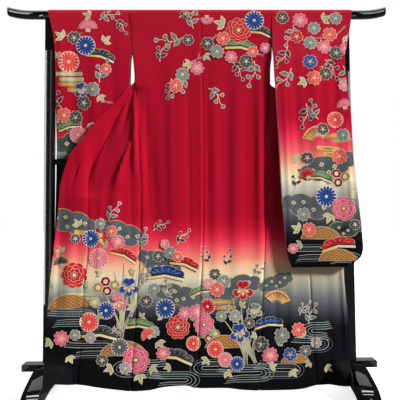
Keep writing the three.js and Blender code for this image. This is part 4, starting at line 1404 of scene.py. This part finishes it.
    @staticmethod
    def shell(pen: Pen, size: float, dye: Dye) -> None:
        """Tortoise-shell hexagons with small flowers in them."""
        step = size * 0.58
        for k, (x, z) in enumerate(((-1, 0.3), (0, -0.28), (1, 0.3), (0, 0.88))):
            at = np.array([x * step, z * step])
            six = np.array([(math.cos(b), math.sin(b)) for b in np.radians(np.arange(0, 360, 30))])
            hexagon = six * size * 0.34 * np.where(np.arange(12) % 2, 0.885, 1)[:, None]
            tone = dye if k % 2 else Dye.BRONZE
            pen.edged(hexagon + at, 0, tone, DARKER[tone], rim=1.6)
            pen.edged(lobed(size * 0.17, 6, 0.34) + at, 2, Dye.CREAM, Dye.GOLD, Dye.WINE, 1.0)


@dataclass(frozen=True)
class Spot:
    """How a motif is drawn, and its place, size, turn and dye."""

    draw: Callable[[Pen, float, Dye], None]
    x: float
    z: float
    size: float
    turn: float
    flip: float
    dye: Dye


def spots(chart: str) -> list[Spot]:
    """Reads a chart: a motif, a colon, and x, z, size, turn and dye for each of its spots.

    Args:
        chart: The chart's text, in which an m after a turn turns the motif over.

    Returns:
        The spots in the chart's order.
    """
    found = []
    for group in chart.strip().replace("\n  ", " ").split("\n"):
        name, places = group.split(":")
        for place in places.split(","):
            x, z, size, turn, dye = place.split()
            flip = -1.0 if turn.endswith("m") else 1.0
            numbers = (float(text) for text in (x, z, size, turn.rstrip("m")))
            found.append(Spot(getattr(Motifs, name), *numbers, flip, Dye[dye.upper()]))
    return found


@dataclass(frozen=True)
class Zone:
    """A stretch of cloth with a print of its own."""

    name: str
    targets: tuple[str, ...]
    near: bool
    left: Table
    left_column: str
    right: Table
    right_column: str
    chart: str
    low: float
    high: float
    mirror: float | None = None  # twice the X about which the chart is turned over

    def sketch(self) -> Sketch:
        """Draws the motifs of the zone's chart, one over another in its order.

        Returns:
            The flat print.
        """
        sketch = Sketch()
        for spot in spots(self.chart):
            if self.mirror is not None:
                spot = replace(spot, x=self.mirror - spot.x, turn=-spot.turn, flip=-spot.flip)
            first = len(sketch.layers)
            spot.draw(Pen(sketch, spot.x, spot.z, spot.turn, spot.flip), spot.size, spot.dye)
            sketch.settle(first)
        return sketch

    def lay(self, sketch: Sketch, pieces: dict[str, Piece],
            material: Material) -> Piece:
        """Lays a flat print on the cloth.

        Args:
            sketch: The flat print.
            pieces: The finished cloth pieces by their nodes.
            material: The dyes' material.

        Returns:
            The print, as one piece of thin shapes.
        """
        points = np.concatenate(sketch.points)
        layers = np.concatenate(sketch.layers)
        dyes = np.concatenate(sketch.dyes)
        left = self.left.read(self.left_column, points[:, 1]) + MARGIN
        right = self.right.read(self.right_column, points[:, 1]) - MARGIN
        low, high = np.minimum(left, right), np.maximum(left, right)
        x = np.clip(points[:, 0], low, high)
        floor = HEM.read("z", x) + HEM_MARGIN if self.low <= 0 else self.low
        z = np.clip(points[:, 1], floor, self.high)
        tree = self.surface(pieces)
        side = -1 if self.near else 1
        out = np.zeros((len(points), 3))
        hit = np.zeros(len(points), dtype=bool)
        for k, (px, pz) in enumerate(zip(x * MM, z * MM)):
            place, normal, _, _ = tree.ray_cast(Vector((px, side * RAY_FROM, pz)), Vector((0, -side, 0)))
            if place is None:
                continue
            if normal.y * side < 0:
                normal = -normal
            out[k] = place + normal * (CLEAR + LAYER * layers[k]) * MM
            hit[k] = True
        faces = [f for f in sketch.faces if hit[list(f)].all() and self.area(out, f) > SMALLEST_FACE]
        if not self.near:
            faces = [f[::-1] for f in faces]
        return self.mesh(out, faces, dyes, material)

    def surface(self, pieces: dict[str, Piece]) -> BVHTree:
        """The zone's cloth as one tree of faces."""
        points, faces = [], []
        for name in self.targets:
            mesh = pieces[name].data
            base = len(points)
            points += [v.co.copy() for v in mesh.vertices]
            faces += [[base + v for v in p.vertices] for p in mesh.polygons]
        return BVHTree.FromPolygons(points, faces)

    @staticmethod
    def area(points: Array, face: tuple[int, ...]) -> float:
        """Area of a face of three or four corners."""
        a, b, c, d = points[face[0]], points[face[1]], points[face[2]], points[face[-1]]
        return float(np.linalg.norm(np.cross(c - a, d - b)) / 2 if len(face) == 4
                     else np.linalg.norm(np.cross(b - a, c - a)) / 2)

    def mesh(self, points: Array, faces: list, dyes: Array,
             material: Material) -> Piece:
        """Makes the print's mesh, with its dyes in an attribute."""
        mesh = bpy.data.meshes.new(self.name)
        mesh.from_pydata(points.tolist(), [], faces)
        attribute = mesh.color_attributes.new("dye", "FLOAT_COLOR", "POINT")
        attribute.data.foreach_set("color", dyes.ravel())
        build = bmesh.new()
        build.from_mesh(mesh)
        bmesh.ops.delete(build, geom=[v for v in build.verts if not v.link_faces], context="VERTS")
        turn_out = [f for f in build.faces if (f.normal.y > 0) == self.near]
        bmesh.ops.reverse_faces(build, faces=turn_out)
        build.to_mesh(mesh)
        build.free()
        mesh.materials.append(material)
        piece = linked(self.name, mesh)
        choose(piece)
        smooth(SMOOTH_PRINT)
        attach(piece, "root")
        return piece


CHART_LEFT = """
cloud: -560 742 120 -14 slate, -330 690 110 -20 slate, -176 560 104 -24 slate, -90 420 110 -14 slate
mist: -520 430 80 0 sage
water: -560 330 110 0 teal, -470 196 120 0 slate, -250 112 130 0m teal, -120 62 110 0 teal
mist: -480 690 60 -8 gold
shell: -402 452 62 8 wine
mound: -560 372 92 4 bronze
blades: -338 226 150 0 leaf, -300 330 120 -14 sage
mound: -330 168 98 0 bronze
pine: -330 588 62 -24 vermilion, -430 250 80 -6 charcoal, -262 286 64 -4 pine, -150 498 86 -3 navy,
  -68 548 66 -16 vermilion
leaves: -520 725 34 120 leaf, -398 640 30 160 sage, -596 612 30 110 leaf, -634 470 34 210 sage,
  -640 232 40 215 leaf, -560 168 34 -70 leaf, -212 118 36 -40 leaf, -378 118 40 200 leaf,
  -262 86 42 -80 leaf, -160 330 34 150 leaf, -30 312 34 60 sage, -180 226 38 -60 leaf
sprig: -392 742 34 50 teal, -250 620 34 70 teal, -96 640 30 40 charcoal, -200 700 28 20 charcoal,
  -120 410 30 100 teal
chrysanthemum: -470 668 38 8 royal, -436 584 42 0 rose
blossom: -382 700 26 10 coral, -352 654 30 40 rose, -536 668 22 0 charcoal, -430 732 24 20 teal
half: -598 560 34 10 charcoal
peony: -540 512 56 0 vermilion
half: -640 600 26 -30 coral
iris: -306 462 46 0 royal, -352 396 42 12 rose
chrysanthemum: -404 360 38 0 royal, -476 312 42 10 coral
blossom: -536 258 24 0 teal, -594 244 34 15 rose
chrysanthemum: -346 204 38 5 slate
peony: -276 150 58 12 rose
blossom: -420 150 26 0 charcoal, -232 398 28 25 charcoal, -196 452 24 0 teal, -180 590 26 0 charcoal,
  -128 604 28 30 teal, -96 586 24 10 coral, -150 642 20 0 blush, -470 246 24 12 silver,
  -322 116 26 30 silver, -452 396 24 0 sage
leaves: -440 340 30 -30 sage, -500 470 28 30 sage, -292 372 28 200 leaf, -256 330 26 40 sage,
  -420 520 30 150 leaf, -300 520 28 20 sage
sprig: -240 470 26 60 silver, -380 262 26 20 silver
blossom: -200 268 26 0 silver
leaves: -130 118 30 190 leaf, -60 170 30 200 sage
chrysanthemum: -150 366 42 0 royal
peony: -96 286 50 30 vermilion
blossom: -66 344 30 0 rose
half: -220 250 34 40 coral
pine: -106 150 76 -14 charcoal
blossom: -160 176 30 0 rose
chrysanthemum: -30 216 32 0 coral
"""

CHART_RIGHT = """
cloud: 150 452 120 12 slate, 330 472 80 20 slate
mist: 88 390 60 0 bronze
water: 190 86 130 0 teal, 470 206 84 0 slate, 520 262 56 0m teal, 330 98 110 0 slate, 60 112 90 0m slate
shell: 36 246 52 0 wine
mound: 106 196 84 0 bronze
fan: 330 372 64 -10 gold
mound: 408 128 60 0 bronze
blades: 196 120 150 6 leaf, 236 130 96 24 sage
pine: 6 430 52 14 pine, 296 286 64 6 navy
leaves: 60 420 34 70 leaf, 128 356 32 150 sage, 110 96 36 -50 leaf, 30 150 34 220 leaf,
  392 96 36 -60 leaf, 446 240 30 120 leaf, 330 212 34 30 leaf, 240 352 30 30 sage, 540 110 30 -40 leaf
sprig: 120 540 28 70 charcoal, 50 560 28 110 charcoal, 470 292 34 60 teal, 238 500 28 40 teal
blossom: 66 510 26 0 charcoal, 104 480 30 20 teal, 36 470 24 0 blush, 74 444 32 0 coral
chrysanthemum: 32 372 34 0 vermilion
blossom: -14 350 34 20 rose
iris: 186 444 48 0 vermilion, 236 356 36 -12 teal, 168 262 46 8 royal
peony: 16 296 44 0 rose
chrysanthemum: 64 190 36 0 coral, 106 146 32 12 rose, 156 128 32 0 royal
blossom: 300 160 36 0 rose, 262 208 34 30 charcoal, 386 164 30 0 royal, 352 246 34 20 teal,
  424 268 32 10 coral, 452 178 24 0 slate, 150 330 28 0 silver, 210 300 24 20 charcoal
leaves: 176 372 28 40 leaf, 60 262 30 150 sage, 240 250 28 200 leaf
blossom: 500 212 24 10 silver
sprig: 430 330 28 40 silver
blossom: 90 330 24 10 teal
leaves: 300 110 32 20 leaf, 470 130 28 220 sage
"""

CHART_SHOULDER = """
branch: -96 1372 100 42 plum, 40 1540 62 12 plum, 322 1506 60 196 plum
leaves: 118 1620 50 160 leaf, 262 1650 40 110 leaf, -36 1440 36 190 leaf, 30 1480 34 -50 sage
pine: 190 1508 74 -8 pine, 282 1576 58 -16 charcoal
sprig: -60 1382 40 228 teal, -120 1372 34 250 charcoal, -66 1560 46 176 teal, -170 1450 36 62 charcoal,
  250 1452 44 -112 teal, 150 1450 36 -70 charcoal, 44 1330 40 -62 teal, -20 1600 40 80 teal,
  -84 1650 30 10 charcoal
peony: 182 1592 56 0 vermilion
chrysanthemum: 252 1636 44 0 royal
blossom: 112 1554 32 10 coral, 42 1532 30 0 charcoal, 84 1494 32 24 teal, -44 1548 26 0 charcoal,
  146 1470 28 0 rose, 214 1450 32 0 charcoal, 244 1494 26 12 coral, -6 1420 32 0 rose,
  -70 1390 32 0 teal, -100 1340 32 20 coral, 300 1510 24 0 rose
half: 40 1650 30 180 rose
"""

CHART_SLEEVE_RIGHT = """
branch: 660 1610 90 206 plum, 610 1500 60 236 plum
cloud: 560 974 130 18 slate, 470 800 120 -12 slate, 620 700 90 10 charcoal
mist: 596 1108 60 6 bronze, 560 1050 50 -4 gold
water: 470 600 90 0 slate, 600 566 80 0 teal
shell: 600 912 58 10 wine
fan: 520 1080 70 16 gold
mound: 520 660 84 0 bronze, 592 566 80 0 bronze
pine: 596 622 76 8 vermilion, 520 918 58 -12 pine
leaves: 560 1640 44 20 leaf, 660 1560 40 -60 leaf, 470 1352 40 200 leaf, 430 700 40 150 leaf,
  566 764 44 -120 leaf, 648 846 36 30 leaf, 430 1000 36 140 sage, 436 640 30 200 leaf
sprig: 428 1616 40 -120 teal, 396 1510 40 -130 charcoal, 410 1410 44 -140 teal,
  560 1450 38 -70 charcoal, 640 1420 38 -100 teal, 470 1250 40 -110 charcoal, 520 1180 34 100 teal,
  420 880 30 70 charcoal
blossom: 380 1650 30 0 charcoal, 458 1638 34 10 rose, 520 1600 30 0 teal, 620 1646 30 24 teal,
  590 1570 34 0 coral, 440 1560 30 0 vermilion, 500 1530 32 12 teal, 560 1510 32 0 rose,
  612 1480 32 20 charcoal, 656 1500 28 0 rose, 494 1440 34 0 royal, 560 1384 30 0 charcoal,
  508 1364 34 16 coral, 640 1330 26 0 blush
half: 640 1236 34 10 rose
chrysanthemum: 596 1178 36 0 coral
blossom: 540 1136 28 0 charcoal, 628 1110 30 0 teal, 470 1010 28 0 charcoal, 610 1016 36 0 coral
half: 470 930 36 20 vermilion
chrysanthemum: 548 842 46 0 royal
peony: 622 790 52 10 rose
blossom: 448 766 30 10 teal, 470 700 32 0 coral, 670 720 24 0 charcoal, 400 620 22 0 rose
"""

CHART_SLEEVE_LEFT = """
branch: -640 1540 66 20 plum, -380 1270 66 150 plum
mist: -590 1398 74 0 sage, -560 1352 60 0 bronze
cloud: -520 1096 130 6 charcoal, -590 1180 70 -10 slate
pine: -436 1470 66 -14 charcoal, -576 1160 54 12 pine
leaves: -600 1560 44 140 leaf, -420 1540 40 40 leaf, -630 1470 38 110 sage, -440 1300 34 -60 leaf,
  -480 1180 34 -80 leaf, -480 1660 36 160 leaf
sprig: -440 1360 40 60 teal, -610 1250 38 100 charcoal, -440 1640 34 10 teal, -370 1640 30 -60 charcoal,
  -470 1060 30 40 teal
half: -490 1600 42 0 rose
blossom: -552 1560 30 0 charcoal
chrysanthemum: -500 1524 44 0 royal, -576 1452 48 8 coral
iris: -520 1330 38 20 royal
blossom: -470 1330 32 0 teal, -510 1270 32 10 charcoal, -600 1216 34 0 coral, -548 1206 32 0 charcoal
chrysanthemum: -540 1130 38 0 rose
blossom: -410 1420 24 0 coral
peony: -470 1136 40 0 vermilion
"""


BODY_NODES = ("back_left", "back_right", "front_left", "front_right", "okumi_left", "okumi_right", "collar")
ZONES = (
    Zone("print_hem_left", BODY_NODES, True, OPENED_LEFT, "free_x", OPENED_RIGHT, "free_x",
         CHART_LEFT, 0, 1000),
    Zone("print_hem_right", BODY_NODES, True, OPENED_LEFT, "free_x", OPENED_RIGHT, "free_x",
         CHART_RIGHT, 0, 1000),
    Zone("print_shoulder", ("back_left", "back_right"), True, SIDE_LEFT, "x", SIDE_RIGHT, "x",
         CHART_SHOULDER, 1100, 1686),
    Zone("print_sleeve_right", ("sleeve_right",), True, SLEEVE_RIGHT, "inner", SLEEVE_RIGHT, "near_outer",
         CHART_SLEEVE_RIGHT, 552, 1686),
    Zone("print_sleeve_left", ("sleeve_left",), True, SLEEVE_LEFT, "near_outer", SLEEVE_LEFT, "inner",
         CHART_SLEEVE_LEFT, 552, 1686),
    Zone("print_far_sleeve_right", ("sleeve_right",), False, SLEEVE_RIGHT, "inner", SLEEVE_RIGHT, "far_outer",
         CHART_SLEEVE_RIGHT, 552, 1686, 1030),
    Zone("print_far_sleeve_left", ("sleeve_left",), False, SLEEVE_LEFT, "far_outer", SLEEVE_LEFT, "inner",
         CHART_SLEEVE_LEFT, 552, 1686, -980),
    Zone("print_far_front_right", ("front_right",), False, OPENED_RIGHT, "seam_x", OPENED_RIGHT, "side_x",
         CHART_SHOULDER, 1400, 1686),
    Zone("print_far_front_left", ("front_left",), False, OPENED_LEFT, "side_x", OPENED_LEFT, "seam_x",
         CHART_SHOULDER, 1400, 1686, 20),
)


# ---- rack

FOOT_TOP = Table(
    "y z",
    [(0, 118), (45, 118), (75, 112), (106, 102), (141, 89), (176, 74), (203, 58), (222, 38), (233, 18),
     (236, 0)],
)
FOOT_UNDERSIDE = Table("y z", [(0, 30), (50, 30), (90, 24), (118, 16), (138, 7), (148, 0), (236, 0)])
FOOT_STATIONS = (
    50, 58, 66, 75, 85, 95, 106, 118, 128, 138, 148, 158, 168, 178, 188, 197, 205, 213, 220, 226, 231, 234.5,
)


@dataclass(frozen=True)
class RackPart:
    """A member of the rack, modelled as one half and mirrored."""

    node: str
    bevel: float = 2.5

    def start(self, low: tuple[float, float, float], high: tuple[float, float, float]) -> Piece:
        """Adds the first block of the half, between two corners in millimetres, in edit mode."""
        choose(None)
        middle = [(a + b) / 2 * MM for a, b in zip(low, high)]
        size = [(b - a) * MM for a, b in zip(low, high)]
        bpy.ops.mesh.primitive_cube_add(size=1, location=middle, scale=size)
        piece = bpy.context.active_object
        piece.name = f"{self.node}_lacquered"
        bpy.ops.object.transform_apply(location=True, rotation=True, scale=True)
        bpy.ops.object.mode_set(mode="EDIT")
        return piece

    @staticmethod
    def pick(piece: Piece, axis: int, highest: bool) -> None:
        """Selects the face at one end of the half along an axis."""
        build = bmesh.from_edit_mesh(piece.data)
        for face in build.faces:
            face.select_set(False)
        way = 1 if highest else -1
        chosen = sorted(build.faces, key=lambda face: face.calc_center_median()[axis] * way)[-1]
        chosen.select_set(True)
        bmesh.update_edit_mesh(piece.data)

    def mirror(self, piece: Piece, axis: int) -> None:
        """Opens the half at its middle and mirrors it across an axis."""
        self.pick(piece, axis, False)
        bpy.ops.mesh.delete(type="FACE")
        bpy.ops.object.mode_set(mode="OBJECT")
        modify(piece, "MIRROR", use_axis=[k == axis for k in range(3)])

    def polish(self, piece: Piece, material: Material) -> Piece:
        choose(piece)
        modify(piece, "BEVEL", width=self.bevel * MM, segments=3, limit_method="ANGLE",
               angle_limit=math.radians(40))
        smooth(SMOOTH_LACQUER)
        piece.data.materials.clear()
        piece.data.materials.append(material)
        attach(piece, "root")
        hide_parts(self.node)
        return piece


@dataclass(frozen=True)
class Foot(RackPart):
    """An arched foot with a notch on top for the lower bar."""

    x: float = 670.0
    width: float = 70.0
    notch: tuple[float, float] = (27.3, 98.7)

    def build(self, material: Material) -> Piece:
        """Draws the foot out from its middle in steps, and cuts the notch.

        Args:
            material: The lacquer.

        Returns:
            The finished foot.
        """
        half = self.width / 2
        piece = self.start((self.x - half, 0, 30), (self.x + half, 45, 118))
        y, low, high = 45.0, 30.0, 118.0
        for station in FOOT_STATIONS:
            new_low, new_high = (float(edge.read("z", station)) for edge in (FOOT_UNDERSIDE, FOOT_TOP))
            self.pick(piece, 1, True)
            move = (0, (station - y) * MM, (new_low + new_high - low - high) / 2 * MM)
            bpy.ops.mesh.extrude_region_move(TRANSFORM_OT_translate={"value": move})
            centre = (self.x * MM, station * MM, (new_low + new_high) / 2 * MM)
            grow = (new_high - new_low) / (high - low)
            bpy.ops.transform.resize(value=(1, 1, grow), center_override=centre)
            y, low, high = station, new_low, new_high
        self.mirror(piece, 1)
        self.cut(piece)
        return self.polish(piece, material)

    def cut(self, piece: Piece) -> None:
        """Cuts the notch for the lower bar."""
        reach, floor = self.notch
        choose(None)
        bpy.ops.mesh.primitive_cube_add(
            size=1, location=(self.x * MM, 0, (floor + 30) * MM),
            scale=(2 * self.width * MM, 2 * reach * MM, 60 * MM))
        cutter = bpy.context.active_object
        choose(piece)
        modify(piece, "BOOLEAN", operation="DIFFERENCE", object=cutter)
        bpy.data.objects.remove(cutter, do_unlink=True)

    def copy(self, piece: Piece, node: str) -> Piece:
        """Copies the finished foot to the rack's other side.

        Args:
            piece: The finished foot.
            node: Node that the copy stands for.

        Returns:
            The copy, with a mesh of its own.
        """
        other = linked(f"{node}_lacquered", piece.data.copy())
        other.data.transform(Matrix.Translation((-2 * self.x * MM, 0, 0)))
        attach(other, "root")
        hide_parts(node)
        return other


@dataclass(frozen=True)
class TopBar(RackPart):
    """The top bar, with rounded edges and ends that lift a little."""

    half_length: float = 852.0
    depth: float = 30.0
    height: float = 36.0
    top: float = 1690.0
    rounding: float = 9.0
    lift: float = 16.0
    lift_run: float = 105.0

    def build(self, material: Material) -> Piece:
        """Draws the bar out from its middle and lifts its end in steps.

        Args:
            material: The lacquer.

        Returns:
            The finished bar.
        """
        straight = self.half_length - self.lift_run
        piece = self.start((0, -self.depth / 2, self.top - self.height), (straight, self.depth / 2, self.top))
        build = bmesh.from_edit_mesh(piece.data)
        for edge in build.edges:
            edge.select_set(abs(edge.verts[0].co.x - edge.verts[1].co.x) > straight / 2 * MM)
        bmesh.update_edit_mesh(piece.data)
        bpy.ops.mesh.bevel(offset=self.rounding * MM, segments=4)
        steps = 12
        for k in range(steps):
            self.pick(piece, 0, True)
            rise = self.lift * ((k + 1) ** 2 - k**2) / steps**2
            bpy.ops.mesh.extrude_region_move(
                TRANSFORM_OT_translate={"value": (self.lift_run / steps * MM, 0, rise * MM)})
        self.mirror(piece, 0)
        return self.polish(piece, material)


def build_rack(material: Material) -> list[Piece]:
    """Builds the members of the rack that this script models itself.

    Args:
        material: The lacquer.

    Returns:
        The finished members.
    """
    foot = Foot("foot_right")
    right = foot.build(material)
    return [right, foot.copy(right, "foot_left"), TopBar("top_bar", bevel=1.5).build(material)]


# ---- studio

FLOOR_GLOW = 0.75  # keeps the floor as pale as the backdrop


@dataclass
class Studio:
    """Pale floor, soft light and the camera at the viewer's place."""

    camera_at: tuple[float, float, float] = (-0.0292, -2.0, 0.7474)
    yaw: float = 0.94
    pitch: float = 2.47
    roll: float = -0.44
    lens: float = 40.51
    floor_half: float = 30.0

    def camera(self) -> None:
        """Places the camera and makes it the scene's own."""
        data = bpy.data.cameras.new("camera")
        data.lens = self.lens
        data.sensor_width = 36.0
        camera = linked("camera", data)
        yaw, pitch, roll = (math.radians(v) for v in (self.yaw, self.pitch, self.roll))
        ahead = Vector((math.sin(yaw) * math.cos(pitch), math.cos(yaw) * math.cos(pitch), math.sin(pitch)))
        across = Vector((math.cos(yaw), -math.sin(yaw), 0))
        up = across.cross(ahead)
        right = across * math.cos(roll) + up * math.sin(roll)
        top = up * math.cos(roll) - across * math.sin(roll)
        turn = Matrix((right, top, -ahead)).transposed().to_4x4()
        camera.matrix_world = Matrix.Translation(self.camera_at) @ turn
        bpy.context.scene.camera = camera

    def floor(self) -> None:
        """Lays a pale floor."""
        h = self.floor_half
        mesh = bpy.data.meshes.new("floor")
        mesh.from_pydata([(-h, -h, 0), (h, -h, 0), (h, h, 0), (-h, h, 0)], [], [(0, 1, 2, 3)])
        floor = linked("floor", mesh)
        n = Nodes("pale_floor")
        mottled = n.ramp(n.noise(3, 2), [(0.3, linear(238, 238, 240)), (0.7, linear(244, 244, 244))])
        path = n.add("ShaderNodeLightPath")
        mirrored = n.math("MULTIPLY", path.outputs["Is Glossy Ray"], 0.9)
        bounced = n.math("MULTIPLY", path.outputs["Is Diffuse Ray"], 0.75)
        shown = n.math("SUBTRACT", n.math("SUBTRACT", 1.0, mirrored), bounced)
        n.shade(
            Base_Color=n.tint(mottled, shown), Roughness=0.8, Specular_IOR_Level=0.1,
            Emission_Color=linear(255, 255, 255),
            Emission_Strength=n.math("MULTIPLY", path.outputs["Is Camera Ray"], FLOOR_GLOW),
        )
        mesh.materials.append(n.material)

    def light(self) -> None:
        """Hangs the suns that light the cloth and the strips that only the lacquer mirrors."""
        for name, place, strength, spread in (
            ("key", (1.9, -1.0, 1.4), 5.8, 9.0),
            ("fill", (-1.3, -1.6, 0.5), 0.1, 50.0),
            ("back", (0.4, 1.6, 1.4), 1.1, 50.0),
        ):
            lamp = self.lamp(name, "SUN", strength)
            lamp.data.angle = math.radians(spread)
            lamp.rotation_euler = Vector(place).to_track_quat("Z", "Y").to_euler()
            lamp.visible_glossy = False
        for name, place, aim, size, glow in (
            ("strip_left", (-1.36, -2.1, 0.9), (-1.36, 0, 0.9), (0.014, 2.8), 11.0),
            ("strip_left_faint", (-1.311, -2.1, 0.9), (-1.311, 0, 0.9), (0.012, 2.8), 0.8),
            ("strip_right", (1.42, -2.1, 1.5), (1.42, 0, 1.5), (0.02, 1.2), 5.0),
            ("strip_end_left", (-1.65, -2.1, 2.668), (-1.65, 0, 2.668), (0.28, 0.42), 5.0),
            ("strip_end_right", (1.67, -2.1, 2.668), (1.67, 0, 2.668), (0.24, 0.42), 3.2),
            ("strip_over", (0.0, -0.2, 2.5), (0, -0.15, 0), (3.6, 0.3), 8.0),
            ("strip_front", (0.0, -0.95, 2.6), (0, -0.2, 0), (3.6, 0.16), 9.0),
            ("low_left", (-0.93, -0.47, 0.01), (-0.93, -0.47, 1.0), (0.13, 0.3), 0.45),
            ("low_right", (0.94, -0.47, 0.01), (0.94, -0.47, 1.0), (0.13, 0.3), 0.45),
            ("panel_back", (0.0, 1.0, 2.5), (0, 0.8, 0), (3.8, 0.8), 1.0),
            ("panel_far", (0.0, 3.0, 1.0), (0, 0, 1.0), (4.4, 1.4), 0.4),
        ):
            lamp = self.lamp(name, "AREA", glow * math.pi * size[0] * size[1])
            lamp.data.shape = "RECTANGLE"
            lamp.data.size, lamp.data.size_y = size
            lamp.location = place
            lamp.rotation_euler = (Vector(place) - Vector(aim)).to_track_quat("Z", "Y").to_euler()
            lamp.visible_camera = False
            lamp.visible_diffuse = False

    @staticmethod
    def lamp(name: str, kind: str, strength: float) -> Piece:
        """Adds a lamp of a kind and strength."""
        data = bpy.data.lights.new(name, kind)
        data.energy = strength
        return linked(name, data)

    def surroundings(self) -> None:
        """White backdrop for the eye, a softer one for the cloth and a dark one for the lacquer."""
        world = bpy.data.worlds.new("studio")
        bpy.context.scene.world = world
        world.use_nodes = True
        nodes, links = world.node_tree.nodes, world.node_tree.links
        nodes.clear()
        output = nodes.new("ShaderNodeOutputWorld")
        path = nodes.new("ShaderNodeLightPath")
        light = None
        for strength, ray in ((0.11, None), (0.03, "Is Glossy Ray"), (1.0, "Is Camera Ray")):
            glow = nodes.new("ShaderNodeBackground")
            glow.inputs["Color"].default_value = (1, 1, 1, 1)
            glow.inputs["Strength"].default_value = strength
            if ray is None:
                light = glow.outputs[0]
                continue
            mix = nodes.new("ShaderNodeMixShader")
            links.new(path.outputs[ray], mix.inputs["Fac"])
            links.new(light, mix.inputs[1])
            links.new(glow.outputs[0], mix.inputs[2])
            light = mix.outputs[0]
        links.new(light, output.inputs["Surface"])

    def build(self) -> None:
        """Sets up the whole studio."""
        self.camera()
        self.floor()
        self.light()
        self.surroundings()
        settings = bpy.context.scene.view_settings
        settings.view_transform = "Standard"
        settings.look = "None"


# ---- main


def main() -> None:
    """Builds every piece in order and reports each one."""
    logging.basicConfig(level=logging.INFO, format="%(message)s")
    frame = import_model()
    finishes = Finishes()
    Studio().build()
    pieces = {}
    for cloth in GARMENT:
        pieces[cloth.node] = cloth.build(finishes.silk_of(cloth), finishes.lining)
        log.info("%s: %d faces", pieces[cloth.node].name, len(pieces[cloth.node].data.polygons))
    for member in build_rack(finishes.lacquer):
        log.info("%s: %d faces", member.name, len(member.data.polygons))
    prints: dict[str, list] = {node: [] for node in pieces}
    for zone in ZONES:
        laid = zone.lay(zone.sketch(), pieces, finishes.print)
        prints[zone.targets[0]].append(laid)
        log.info("%s: %d faces", laid.name, len(laid.data.polygons))
    for cloth in GARMENT:
        cloth.declare_sheet(pieces[cloth.node], prints[cloth.node])
    for name in frame["nodes"]:
        node = bpy.data.objects.get(name)
        if node is not None and not node.hide_render:
            for slot in node.material_slots:
                slot.material = finishes.lacquer
            if not node.material_slots:
                node.data.materials.append(finishes.lacquer)


if __name__ == "__main__":
    main()
